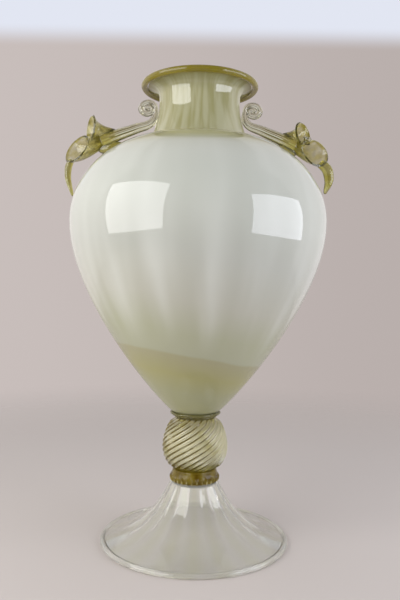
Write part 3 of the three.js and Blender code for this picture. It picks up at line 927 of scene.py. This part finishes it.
def neck_glass(colours):
    """Olive glass with a milky cast: pale with upright cords, and amber under the lip."""
    def base(tree):
        place, parts, turn = place_nodes(tree)
        radius = axis_distance(tree, parts)
        height = add_node(tree, "Math", {0: parts[2], 1: NECK_BASE}, operation="SUBTRACT")[0]
        wide = add_node(tree, "MapRange", {0: radius, 1: 0.044, 2: 0.056}, **SOFT)[0]
        high = add_node(tree, "MapRange", {0: height, 1: 0.03, 2: 0.05}, **SOFT)[0]
        lip = add_node(tree, "Math", {0: wide, 1: high}, operation="MULTIPLY")[0]
        # Cords about 6 mm wide at the waist
        streaks = upright_streaks(tree, turn, height, 7.0, 3.0)
        cord = add_node(tree, "MapRange", {0: streaks, 1: 0.35, 2: 0.65}, **SOFT)[0]
        pale = add_node(tree, "Mix", {0: cord, 6: colours.olive, 7: colours.neck_cord}, **TINTS)[2]
        return add_node(tree, "Mix", {0: lip, 6: pale, 7: colours.olive_dark}, **TINTS)[2]
    return clear_through(
        "olive_neck_glass", base, roughness=0.04, through=0.15, grain=0.012, depth=0.0002,
        shine=1.0,
    )


def dusted_glass(colours, sizes):
    """Clear ribbed glass with fine gold dust, a little milky where the dust is thick."""
    def base(tree):
        place, parts, turn = place_nodes(tree)
        # Specks of dust about 0.8 mm apart
        specks = add_node(tree, "TexVoronoi", {"Vector": place, "Scale": 1250.0})["Distance"]
        dust = add_node(tree, "MapRange", {0: specks, 1: 0.22, 2: 0.1}, **SOFT)[0]
        bands = optic_bands(tree, turn, sizes.foot_ribs)
        pale = add_node(tree, "Mix", {0: bands, 6: colours.foot, 7: colours.clear}, **TINTS)[2]
        return add_node(tree, "Mix", {0: dust, 6: pale, 7: colours.dust}, **TINTS)[2]
    return clear_through(
        "dusted_clear_glass", base, roughness=0.04, through=0.78, grain=0.008, depth=0.0003,
    )


def knop_glass(colours, sizes):
    """Pale gold glass with swirled ribs, pale on the crests, with painted shade in gold-olive in the
    grooves and towards its ends.
    """
    def base(tree):
        place, parts, turn = place_nodes(tree)
        radius = axis_distance(tree, parts)
        rise = add_node(tree, "Math", {0: parts[2], 1: KNOP_BASE}, operation="SUBTRACT")[0]
        pitch = -sizes.knop_twist / (MERESE_BASE - KNOP_BASE)
        swirl = add_node(tree, "Math", {0: rise, 1: pitch, 2: turn}, operation="MULTIPLY_ADD")[0]
        rib = optic_bands(tree, swirl, sizes.knop_ribs)
        # Unevenness about 9 mm across, and patches of gold about 22 mm across
        uneven, patch = [
            add_node(tree, "TexNoise", {"Vector": place, "Scale": scale, "Detail": 1.0})["Fac"]
            for scale in (110.0, 45.0)
        ]
        # Painted shade: gold-olive lines darken the grooves between the ribs, unevenly
        low = add_node(tree, "MapRange", {0: rib, 1: 0.45, 2: 0.0}, **SOFT)[0]
        full = add_node(tree, "MapRange", {0: uneven, 1: 0.15, 2: 0.5}, **SOFT)[0]
        groove = add_node(tree, "Math", {0: low, 1: full}, operation="MULTIPLY")[0]
        # Painted shade towards the narrow ends of the ball, weaker at the top, and dark olive at its foot
        ends = add_node(tree, "MapRange", {0: radius, 1: 0.0305, 2: 0.0225}, **SOFT)[0]
        upper = add_node(tree, "MapRange", {0: rise, 1: 0.015, 2: 0.035, 3: 1.0, 4: 0.5}, **SOFT)[0]
        ends = add_node(tree, "Math", {0: ends, 1: upper}, operation="MULTIPLY")[0]
        root = add_node(tree, "MapRange", {0: rise, 1: 0.01, 2: 0.003, 4: 0.8}, **SOFT)[0]
        patch = add_node(tree, "MapRange", {0: patch, 1: 0.5, 2: 0.75}, **SOFT)[0]
        tint = colours.knop
        for share, second in (
            (ends, colours.groove), (root, colours.olive_dark), (patch, colours.gold_bit),
            (groove, colours.groove),
        ):
            tint = add_node(tree, "Mix", {0: share, 6: tint, 7: second}, **TINTS)[2]
        return tint
    return clear_through(
        "gold_ribbed_glass", base, roughness=0.03, through=0.6, grain=0.005, depth=0.0008,
        deep=colours.gold_deep, density=15.0, shine=1.0,
    )


def gold_glass(colours):
    """Olive gold glass of the pads and tails, deep where it is thick."""
    return clear_through(
        "gold_bit_glass", lambda tree: streaked(tree, 150.0, colours.gold_bit, colours.gold),
        roughness=0.03, through=0.85, grain=0.005, depth=0.001, deep=colours.gold_deep,
        density=220.0, shine=0.8,
    )


def leaf_glass(colours):
    """Gold glass of the leaves: nearly clear in the cup, deep olive at the rim and the stem."""
    def base(tree):
        depth = add_node(tree, "Attribute", {}, attribute_name=GLASS_DEPTH)["Fac"]
        thin = streaked(tree, 150.0, colours.gold, colours.clear)
        deep = streaked(tree, 220.0, colours.gold_rim, colours.gold_bit)
        return add_node(tree, "Mix", {0: depth, 6: thin, 7: deep}, **TINTS)[2]
    return clear_through(
        "gold_leaf_glass", base, roughness=0.03, through=0.9, grain=0.006, depth=0.0012,
        deep=colours.gold_deep, density=160.0, shine=0.8,
    )


def collar_glass(colours, sizes):
    """Amber glass, thick and deep, with painted highlights on the crests of its crimps and along its lower
    edge.
    """
    def base(tree):
        place, parts, turn = place_nodes(tree)
        amber = streaked(tree, 90.0, colours.collar, colours.groove)
        height = add_node(tree, "Math", {0: parts[2], 1: FOOT_TOP}, operation="SUBTRACT")[0]
        crest = optic_bands(tree, turn, sizes.crimps)
        # Unevenness about 6 mm across, so that not every crimp gets a painted highlight
        uneven = add_node(tree, "TexNoise", {"Vector": place, "Scale": 160.0, "Detail": 1.0})["Fac"]
        # Painted highlights: pale glints on the crests of the crimps, in their lower half
        glints = add_node(tree, "MapRange", {0: crest, 1: 0.7, 2: 0.98}, **SOFT)[0]
        top = sizes.crimp_height
        for share in (
            add_node(tree, "MapRange", {0: height, 1: top, 2: top / 2}, **SOFT)[0],
            add_node(tree, "MapRange", {0: uneven, 1: 0.35, 2: 0.6}, **SOFT)[0],
        ):
            glints = add_node(tree, "Math", {0: glints, 1: share}, operation="MULTIPLY")[0]
        # A painted highlight along the collar's lower edge, where it sits on the foot
        edge = add_node(tree, "MapRange", {0: height, 1: 0.0012, 2: 0.0002, 4: 0.85}, **SOFT)[0]
        glints = add_node(tree, "Math", {0: glints, 1: edge}, operation="MAXIMUM")[0]
        return add_node(tree, "Mix", {0: glints, 6: amber, 7: colours.crimp}, **TINTS)[2]
    return clear_through(
        "amber_collar_glass", base, roughness=0.08, through=0.35, grain=0.003, depth=0.0016,
        shine=0.15,
    )


def merese_glass(colours):
    """Olive glass that is clear where it is thin and dark at its rolled rim."""
    return clear_through(
        "olive_merese_glass", lambda tree: streaked(tree, 90.0, colours.merese, colours.gold_bit),
        roughness=0.03, through=0.8, grain=0.006, depth=0.0002, deep=colours.merese_deep,
        density=320.0,
    )


def thread_glass(colours):
    """Dark olive glass of the lip's thread."""
    return clear_through(
        "dark_olive_glass", lambda tree: streaked(tree, 90.0, colours.thread, colours.olive_dark),
        roughness=0.03, through=0.5, grain=0.006, depth=0.0002,
    )


def edge_glass(colours):
    """The clear thread round the foot's edge."""
    return clear_through(
        "clear_edge_glass", lambda tree: streaked(tree, 60.0, colours.clear, colours.foot),
        roughness=0.02, through=0.75, grain=0.01, depth=0.0002, deep=colours.clear_deep,
        density=6.0, shine=0.8,
    )


def rod_glass(colours, handle):
    """Clear drawn glass with painted shade as olive lines between its ribs, fainter in the scroll."""
    def base(tree):
        along = add_node(tree, "UVMap", {}, uv_map="UVMap")[0]
        around = add_node(tree, "SeparateXYZ", {0: along})[1]
        turn = add_node(tree, "Math", {0: around, 1: 2 * math.pi}, operation="MULTIPLY")[0]
        rib = optic_bands(tree, turn, handle.rod_ribs)
        # Painted shade: olive lines darken the grooves between the rod's ribs
        groove = add_node(tree, "MapRange", {0: rib, 1: 0.45, 2: 0.05}, **SOFT)[0]
        place = add_node(tree, "TexCoord", {})["Object"]
        aside = add_node(tree, "SeparateXYZ", {0: place})[0]
        out = add_node(tree, "Math", {0: aside}, operation="ABSOLUTE")[0]
        full = add_node(tree, "MapRange", {0: out, 1: 0.058, 2: 0.068, 3: 0.6, 4: 1.0}, **SOFT)[0]
        line = add_node(tree, "Math", {0: groove, 1: full}, operation="MULTIPLY")[0]
        tint = add_node(tree, "Mix", {0: line, 6: colours.clear, 7: colours.rod_groove_shade}, **TINTS)[2]
        near_leaf = add_node(tree, "MapRange", {0: out, 1: 0.076, 2: 0.094}, **SOFT)[0]
        return add_node(tree, "Mix", {0: near_leaf, 6: tint, 7: colours.gold_bit}, **TINTS)[2]
    return clear_through(
        "clear_rod_glass", base, roughness=0.03, through=0.9, grain=0.01, depth=0.0003,
        deep=colours.clear_deep, density=90.0, shine=0.8,
    )


# Operators, one for each piece or group of like pieces

def vase_of(context):
    return context.scene.vase_sizes, context.scene.vase_colours


class VASE_OT_foot(bpy.types.Operator):
    """Blow the ribbed trumpet foot"""

    bl_idname = "vase.foot"
    bl_label = "Foot"

    def execute(self, context):
        sizes, colours = vase_of(context)
        piece = turned(foot_outline(sizes), 14, 4 * sizes.foot_ribs)
        ribs_from = 0.012
        ribs_to = FOOT_TOP - 0.001
        raise_crests(piece, sizes.foot_ribs, sizes.foot_rib_depth, ribs_from, ribs_to)
        subdivided(piece, 2)
        walled(piece, sizes.foot_wall)
        finished(piece, "blown_foot", "foot", dusted_glass(colours, sizes))
        return {"FINISHED"}


class VASE_OT_threads(bpy.types.Operator):
    """Lay the threads round the edges of the foot and the lip"""

    bl_idname = "vase.threads"
    bl_label = "Edge threads"

    def execute(self, context):
        sizes, colours = vase_of(context)
        rise = math.sqrt(sizes.foot_thread ** 2 - (sizes.rest_width / 2) ** 2)
        edge = turned(thread_outline(
            sizes.foot_radius - sizes.foot_thread, rise, sizes.foot_thread, sizes.rest_width,
        ), 6, 144, close=True)
        finished(edge, "foot_thread", "foot_rim", edge_glass(colours))
        level = VASE_TOP - sizes.lip_thread
        lip = turned(thread_outline(
            sizes.lip_radius - sizes.lip_thread, level, sizes.lip_thread, sizes.lip_thread / 2,
        ), 6, 128, close=True)
        finished(lip, "lip_thread", "lip_wrap", thread_glass(colours))
        return {"FINISHED"}


class VASE_OT_collar(bpy.types.Operator):
    """Wrap and crimp the collar"""

    bl_idname = "vase.collar"
    bl_label = "Collar"

    def execute(self, context):
        sizes, colours = vase_of(context)
        foot = Vector((sizes.collar_foot_radius, FOOT_TOP))
        crimp_top = FOOT_TOP + sizes.crimp_height
        bulge = Vector((sizes.collar_radius, FOOT_TOP + sizes.crimp_height / 2))
        shelf = Vector((sizes.collar_radius, crimp_top))
        waist = Vector((sizes.collar_waist_radius, (crimp_top + KNOP_BASE) / 2))
        top = Vector((sizes.collar_top_radius, KNOP_BASE))
        corners = [Vector((0, FOOT_TOP)), foot, bulge, shelf, waist, top, Vector((0, KNOP_BASE))]
        stretches = [straight(a, b) for a, b in zip(corners, corners[1:])]
        piece = turned(stretches, 2, 4 * sizes.crimps)
        # The crimps are lifted further than they stand out, because smoothing rounds them off
        margin = 0.0005
        raise_crests(
            piece, sizes.crimps, 2.5 * sizes.crimp_depth, FOOT_TOP + margin,
            crimp_top + margin, sizes.collar_top_radius,
        )
        subdivided(piece, 2)
        finished(piece, "crimped_collar", "collar", collar_glass(colours, sizes))
        return {"FINISHED"}


class VASE_OT_knop(bpy.types.Operator):
    """Blow the ribbed knop and swirl its ribs"""

    bl_idname = "vase.knop"
    bl_label = "Knop"

    def execute(self, context):
        sizes, colours = vase_of(context)
        piece = turned(knop_outline(sizes), 9, 4 * sizes.knop_ribs)
        # The ribs are lifted further than they stand out, because smoothing rounds them off
        margin = 0.003
        raise_crests(
            piece, sizes.knop_ribs, 2 * sizes.knop_rib_depth,
            KNOP_BASE + margin, MERESE_BASE - margin,
        )
        subdivided(piece, 2)
        walled(piece, sizes.knop_wall)
        apply_modifier(
            piece, "SIMPLE_DEFORM", deform_method="TWIST", deform_axis="Z",
            angle=sizes.knop_twist,
        )
        finished(piece, "ribbed_knop", "knop", knop_glass(colours, sizes))
        return {"FINISHED"}


class VASE_OT_merese(bpy.types.Operator):
    """Make the dished merese with its rolled rim"""

    bl_idname = "vase.merese"
    bl_label = "Merese"

    def execute(self, context):
        sizes, colours = vase_of(context)
        bead = sizes.merese_rim / 2
        middle = Vector((sizes.merese_radius - bead, MERESE_BASE + sizes.merese_dish - bead))
        foot = Vector((sizes.knop_top_radius - SEAL, MERESE_BASE))
        waist = Vector((sizes.merese_waist_radius, MERESE_BASE + sizes.merese_waist_height))
        rim = [from_point(middle, degrees, bead) for degrees in range(-50, 111, 20)]
        # The dish follows the bowl's base at a clearance and ends level with it
        bed = [
            p for p in outline_points(bowl_outline(sizes)[1:3], 12)
            if p.x < sizes.merese_radius - sizes.merese_rim - SEAL and p.y > BOWL_BASE
        ]
        bed = [p + Vector((SEAL, -SEAL)) * 0.7 for p in reversed(bed)]
        corners = [Vector((0, MERESE_BASE)), foot, waist, *rim, *bed, Vector((0, BOWL_BASE))]
        corners[-2].y = BOWL_BASE
        stretches = [straight(a, b) for a, b in zip(corners, corners[1:])]
        piece = turned(stretches, 1, 128)
        finished(piece, "dished_merese", "merese", merese_glass(colours))
        return {"FINISHED"}


class VASE_OT_bowl(bpy.types.Operator):
    """Blow the bowl"""

    bl_idname = "vase.bowl"
    bl_label = "Bowl"

    def execute(self, context):
        sizes, colours = vase_of(context)
        piece = turned(bowl_outline(sizes), 18, 10 * sizes.bowl_bands)
        walled(piece, sizes.bowl_wall)
        finished(piece, "blown_bowl", "bowl", milk_glass(colours, sizes))
        return {"FINISHED"}


class VASE_OT_neck(bpy.types.Operator):
    """Blow the neck and open its lip"""

    bl_idname = "vase.neck"
    bl_label = "Neck"

    def execute(self, context):
        sizes, colours = vase_of(context)
        piece = turned(neck_outline(sizes), 16, 128)
        walled(piece, sizes.neck_wall)
        finished(piece, "blown_neck", "neck", neck_glass(colours))
        return {"FINISHED"}


class HandleOperator:
    """What the handle operators share: which handle they make."""

    side: EnumProperty(
        name="Side", description="Which handle to make",
        items=[("left", "Left", "The handle on -X"), ("right", "Right", "The handle on +X")],
    )

    def parts(self, context):
        handle = getattr(context.scene, "vase_%s_handle" % self.side)
        return context.scene.vase_sizes, handle, context.scene.vase_colours

    def seated(self, piece, handle, name, node, slot, material):
        """Turns a piece to its own side and seats it under that side's names."""
        mirrored(piece, handle.side)
        finished(piece, "%s_%s" % (self.side, name), "%s_%s" % (self.side, node), material)


class VASE_OT_rod(HandleOperator, bpy.types.Operator):
    """Draw a ribbed rod and curl its end"""

    bl_idname = "vase.rod"
    bl_label = "Handle rod"

    def execute(self, context):
        sizes, handle, colours = self.parts(context)
        ring = section(48, handle.rod_ribs, handle.rod_rib_depth / handle.rod_radius)
        points = rod_points(sizes, handle)
        piece = strand(*rounded_end(points, rod_radii(handle, points)), ring, 6)
        deleted(ring)
        material = rod_glass(colours, handle)
        self.seated(piece, handle, "scroll_rod", "handle_rod", "clear_glass", material)
        return {"FINISHED"}


class VASE_OT_pad(HandleOperator, bpy.types.Operator):
    """Press the pad that seals a rod to the shoulder"""

    bl_idname = "vase.pad"
    bl_label = "Shoulder pad"

    def execute(self, context):
        sizes, handle, colours = self.parts(context)
        points = rod_points(sizes, handle)
        over = points[0] + (points[1] - points[0]).normalized() * handle.pad_back
        top = over.z - handle.rod_radius
        bottom = shoulder_height(sizes, over.x)
        start_clean()
        bpy.ops.mesh.primitive_uv_sphere_add(
            segments=48, ring_count=28, radius=1.0, location=(over.x, 0, (top + bottom) / 2),
            scale=(handle.pad_length, handle.pad_breadth, (top - bottom) / 2 + handle.pad_bite),
        )
        piece = bpy.context.object
        bpy.ops.object.transform_apply(location=True, rotation=True, scale=True)
        carved(piece, [bowl_tool(sizes), rod_tool(sizes, handle), leaf_tool(sizes, handle)])
        material = gold_glass(colours)
        self.seated(piece, handle, "seal_pad", "shoulder_pad", "gold_glass", material)
        return {"FINISHED"}


class VASE_OT_leaves(HandleOperator, bpy.types.Operator):
    """Draw the two cup-shaped leaves of a handle"""

    bl_idname = "vase.leaves"
    bl_label = "Leaves"

    def cup(self, handle, rings):
        """A walled cup with a fuller rim."""
        piece = horn(rings)
        walled(piece, handle.leaf_wall)
        middle, way, radius = rings[-1]
        edited(
            piece, bpy.ops.transform.shrink_fatten,
            lambda corner: abs((corner.co - middle).dot(way)) < 0.1 * handle.leaf_wall,
            value=handle.leaf_bead,
        )
        return piece

    def deepen(self, piece, rings, least):
        """Marks how deep the glass looks: most at the stem and at the rim."""
        sideways = 0.2
        falloff = 0.8
        depth = piece.data.attributes.new(GLASS_DEPTH, "FLOAT", "POINT")
        last = len(rings) - 1
        for corner, value in zip(piece.data.vertices, depth.data):
            nearest = min(range(last + 1), key=lambda i: (
                abs((corner.co - rings[i][0]).dot(rings[i][1]))
                + sideways * (corner.co - rings[i][0]).length
            ))
            value.value = 1.0 if nearest == last else max(least, (1 - nearest / last) ** falloff)

    def execute(self, context):
        sizes, handle, colours = self.parts(context)
        material = leaf_glass(colours)
        rings = small_leaf_rings(sizes, handle)
        small = self.cup(handle, rings)
        carved(small, [rod_tool(sizes, handle), leaf_tool(sizes, handle)])
        self.deepen(small, rings, 0.45)
        self.seated(small, handle, "small_cup", "small_leaf", "gold_glass", material)
        rings = large_leaf_rings(sizes, handle)
        large = self.cup(handle, rings)
        self.deepen(large, rings, 0.0)
        self.seated(large, handle, "large_cup", "large_leaf", "gold_glass", material)
        return {"FINISHED"}


class VASE_OT_tail(HandleOperator, bpy.types.Operator):
    """Draw the tail that hangs from the large leaf"""

    bl_idname = "vase.tail"
    bl_label = "Tail"

    def execute(self, context):
        sizes, handle, colours = self.parts(context)
        stations = [
            placed(sizes, handle, reach) for reach in
            (handle.tail_root, handle.tail_shoulder, handle.tail_belly, handle.tail_tip)
        ]
        ways = [
            (stations[1] - stations[0]) / 3, (stations[2] - stations[0]) / 6,
            (stations[3] - stations[1]) / 6, (stations[3] - stations[2]) / 3,
        ]
        points = []
        for i in range(3):
            run = interpolate_bezier(
                stations[i], stations[i] + ways[i], stations[i + 1] - ways[i + 1],
                stations[i + 1], 12,
            )
            points += run[:-1] if i < 2 else run
        # The tail swells below its root and thins to its tip
        root_phase = 50
        tip_phase = 167
        fullness = 0.7
        step = (tip_phase - root_phase) / (len(points) - 1)
        radii = [
            handle.tail_radius * math.sin(math.radians(root_phase + step * i)) ** fullness
            for i in range(len(points))
        ]
        ring = section(32)
        piece = strand(*rounded_end(points, radii), ring)
        deleted(ring)
        edited(
            piece, bpy.ops.transform.resize,
            value=(1, handle.tail_breadth / handle.tail_radius, 1), center_override=(0, 0, 0),
        )
        carved(piece, [leaf_tool(sizes, handle)])
        self.seated(piece, handle, "drawn_tail", "tail", "gold_glass", gold_glass(colours))
        return {"FINISHED"}


class VASE_OT_stage(bpy.types.Operator):
    """Lay the floor, hang the lamps and set the camera"""

    bl_idname = "vase.stage"
    bl_label = "Stage"

    def execute(self, context):
        scene = context.scene
        colours = scene.vase_colours
        self.floor(colours)
        self.world(scene, colours)
        left_shoulder = Vector((-0.05, -0.08, 0.3))
        right_shoulder = Vector((0.06, -0.075, 0.295))
        middle = Vector((0, 0, 0.31))
        # Name, the point it is set out from, its way and the way it faces, distance, size, light
        for lamp in (
            ("left_softbox", left_shoulder, (-57.6, 15.2), (-46, 12), 0.78, (0.86, 0.73), 3.5),
            ("right_softbox", right_shoulder, (76.3, 9), (52, -10), 0.78, (0.85, 0.51), 3.6),
            ("left_panel", middle, (-122, 20), (-122, 20), 1.5, (1.8, 2.6), 0.35),
            ("right_panel", middle, (122, 20), (122, 20), 1.5, (1.8, 2.6), 0.35),
        ):
            self.softbox(*lamp)
        bpy.data.lights["right_softbox"].color = (0.95, 0.98, 1.08)
        self.camera(scene)
        scene.view_settings.view_transform = "Standard"
        return {"FINISHED"}

    def floor(self, colours):
        """A pale floor that runs out into the backdrop."""
        start_clean()
        bpy.ops.mesh.primitive_circle_add(
            vertices=96, radius=2.2, fill_type="NGON", location=(0, 0, -0.0002),
        )
        floor = bpy.context.object
        floor.name = "floor"
        bpy.ops.object.transform_apply(location=True, rotation=True, scale=True)
        material, tree = new_material("pale_floor")
        place = add_node(tree, "TexCoord", {})["Object"]
        far = add_node(tree, "VectorMath", {0: place}, operation="LENGTH")["Value"]
        fade = add_node(tree, "MapRange", {0: far, 1: 0.35, 2: 1.1}, **SOFT)[0]
        paper = add_node(
            tree, "BsdfPrincipled", {"Base Color": colours.floor, "Roughness": 0.8},
        )[0]
        beyond = add_node(tree, "BsdfTransparent", {})[0]
        mix = add_node(tree, "MixShader", {0: fade, 1: paper, 2: beyond})[0]
        add_node(tree, "OutputMaterial", {"Surface": mix})
        floor.data.materials.append(material)

    def world(self, scene, colours):
        """Even white light, and the backdrop's own colour where it is seen."""
        world = bpy.data.worlds.new("studio")
        scene.world = world
        world.use_nodes = True
        tree = world.node_tree
        tree.nodes.clear()
        rays = add_node(tree, "LightPath", {})
        seen = rays["Is Camera Ray"]
        for ray in ("Is Glossy Ray", "Is Transmission Ray"):
            seen = add_node(tree, "Math", {0: seen, 1: rays[ray]}, operation="MAXIMUM")[0]
        white = (1.0, 1.0, 1.0, 1.0)
        light = add_node(tree, "Background", {"Color": white, "Strength": 0.41})[0]
        way = add_node(tree, "TexCoord", {})["Generated"]
        across, onward, rise = add_node(tree, "SeparateXYZ", {0: way})
        aside = add_node(tree, "MapRange", {0: across, 1: -0.35, 2: 0.35}, **SOFT)[0]
        tone = add_node(
            tree, "Mix", {0: aside, 6: colours.backdrop, 7: colours.backdrop_right}, **TINTS,
        )[2]
        # A brighter strip high on the backdrop, and the unlit room behind the camera
        ahead = add_node(tree, "Math", {0: onward, 1: 0.2}, operation="MAXIMUM")[0]
        slope = add_node(tree, "Math", {0: rise, 1: ahead}, operation="DIVIDE")[0]
        strip = add_node(tree, "MapRange", {0: slope, 1: 0.395, 2: 0.435}, **SOFT)[0]
        for share in (
            add_node(tree, "MapRange", {0: onward, 1: 0.7, 2: 0.85}, **SOFT)[0],
            add_node(tree, "MapRange", {0: slope, 1: 0.6, 2: 0.5}, **SOFT)[0],
        ):
            strip = add_node(tree, "Math", {0: strip, 1: share}, operation="MULTIPLY")[0]
        behind = add_node(tree, "MapRange", {0: onward, 1: 0.2, 2: -0.5}, **SOFT)[0]
        behind = add_node(
            tree, "Math", {0: behind, 1: rays["Is Glossy Ray"]}, operation="MULTIPLY",
        )[0]
        for share, second in ((strip, colours.backdrop_top), (behind, colours.room)):
            tone = add_node(tree, "Mix", {0: share, 6: tone, 7: second}, **TINTS)[2]
        paper = add_node(tree, "Background", {"Color": tone, "Strength": 1.0})[0]
        mix = add_node(tree, "MixShader", {0: seen, 1: light, 2: paper})[0]
        add_node(tree, "OutputWorld", {"Surface": mix})

    def softbox(self, name, aim, stand, facing, distance, size, radiance):
        """An even rectangular lamp. Ways are in degrees round from the front and above level."""
        def way(around, rise):
            turn, lift = math.radians(around), math.radians(rise)
            level = math.cos(lift)
            return Vector((math.sin(turn) * level, -math.cos(turn) * level, math.sin(lift)))

        bpy.ops.object.light_add(type="AREA", location=aim + way(*stand) * distance)
        lamp = bpy.context.object
        lamp.name = name
        lamp.data.name = name
        lamp.rotation_euler = way(*facing).to_track_quat("Z", "Y").to_euler()
        lamp.data.shape = "RECTANGLE"
        lamp.data.size, lamp.data.size_y = size
        lamp.data.energy = radiance * math.pi * size[0] * size[1]
        lamp.visible_camera = False

    def camera(self, scene):
        """The camera of the photo: level, at the height of the bowl, tipped by under a degree."""
        bpy.ops.object.camera_add(
            location=(0, -0.62, 0.2437), rotation=(math.radians(90), math.radians(-0.81), 0),
        )
        camera = bpy.context.object
        camera.name = "camera"
        # The lens and its shift in pixels of the photo, whose long side is the sensor's width
        long_side = 600
        focal_length = 620
        shift_right = 3
        shift_down = 6
        camera.data.sensor_width = 36.0
        camera.data.lens = camera.data.sensor_width * focal_length / long_side
        camera.data.shift_x = shift_right / long_side
        camera.data.shift_y = -shift_down / long_side
        camera.data.clip_start = 0.01
        scene.camera = camera


class VASE_PT_panel(bpy.types.Panel):
    """The vase's pieces and sizes in the sidebar"""

    bl_idname = "VASE_PT_panel"
    bl_label = "Amphora Vase"
    bl_space_type = "VIEW_3D"
    bl_region_type = "UI"
    bl_category = "Amphora Vase"

    def draw(self, context):
        layout = self.layout
        for operator in TURNED_OPERATORS + (VASE_OT_stage,):
            layout.operator(operator.bl_idname)
        for operator in HANDLE_OPERATORS:
            row = layout.row()
            for side in ("left", "right"):
                label = "%s %s" % (side.title(), operator.bl_label)
                row.operator(operator.bl_idname, text=label).side = side
        for setting in SETTINGS:
            group = getattr(context.scene, setting)
            box = layout.box()
            for prop in group.bl_rna.properties:
                if prop.identifier not in ("rna_type", "name", "side"):
                    box.prop(group, prop.identifier)


TURNED_OPERATORS = (
    VASE_OT_foot, VASE_OT_threads, VASE_OT_collar, VASE_OT_knop, VASE_OT_merese, VASE_OT_bowl,
    VASE_OT_neck,
)
HANDLE_OPERATORS = (VASE_OT_rod, VASE_OT_pad, VASE_OT_leaves, VASE_OT_tail)
SETTINGS = {
    "vase_sizes": VaseSizes, "vase_left_handle": LeftHandle, "vase_right_handle": RightHandle,
    "vase_colours": GlassColours,
}
CLASSES = (
    *SETTINGS.values(), *TURNED_OPERATORS, *HANDLE_OPERATORS, VASE_OT_stage, VASE_PT_panel,
)


def register():
    for cls in CLASSES:
        bpy.utils.register_class(cls)
    for setting, group in SETTINGS.items():
        setattr(bpy.types.Scene, setting, PointerProperty(type=group))


def unregister():
    for setting in SETTINGS:
        delattr(bpy.types.Scene, setting)
    for cls in reversed(CLASSES):
        bpy.utils.unregister_class(cls)


def main():
    register()
    bpy.ops.vase.stage()
    bpy.ops.vase.foot()
    bpy.ops.vase.threads()
    bpy.ops.vase.collar()
    bpy.ops.vase.knop()
    bpy.ops.vase.merese()
    bpy.ops.vase.bowl()
    bpy.ops.vase.neck()
    for side in ("left", "right"):
        bpy.ops.vase.rod(side=side)
        bpy.ops.vase.pad(side=side)
        bpy.ops.vase.leaves(side=side)
        bpy.ops.vase.tail(side=side)


if __name__ == "__main__":
    main()
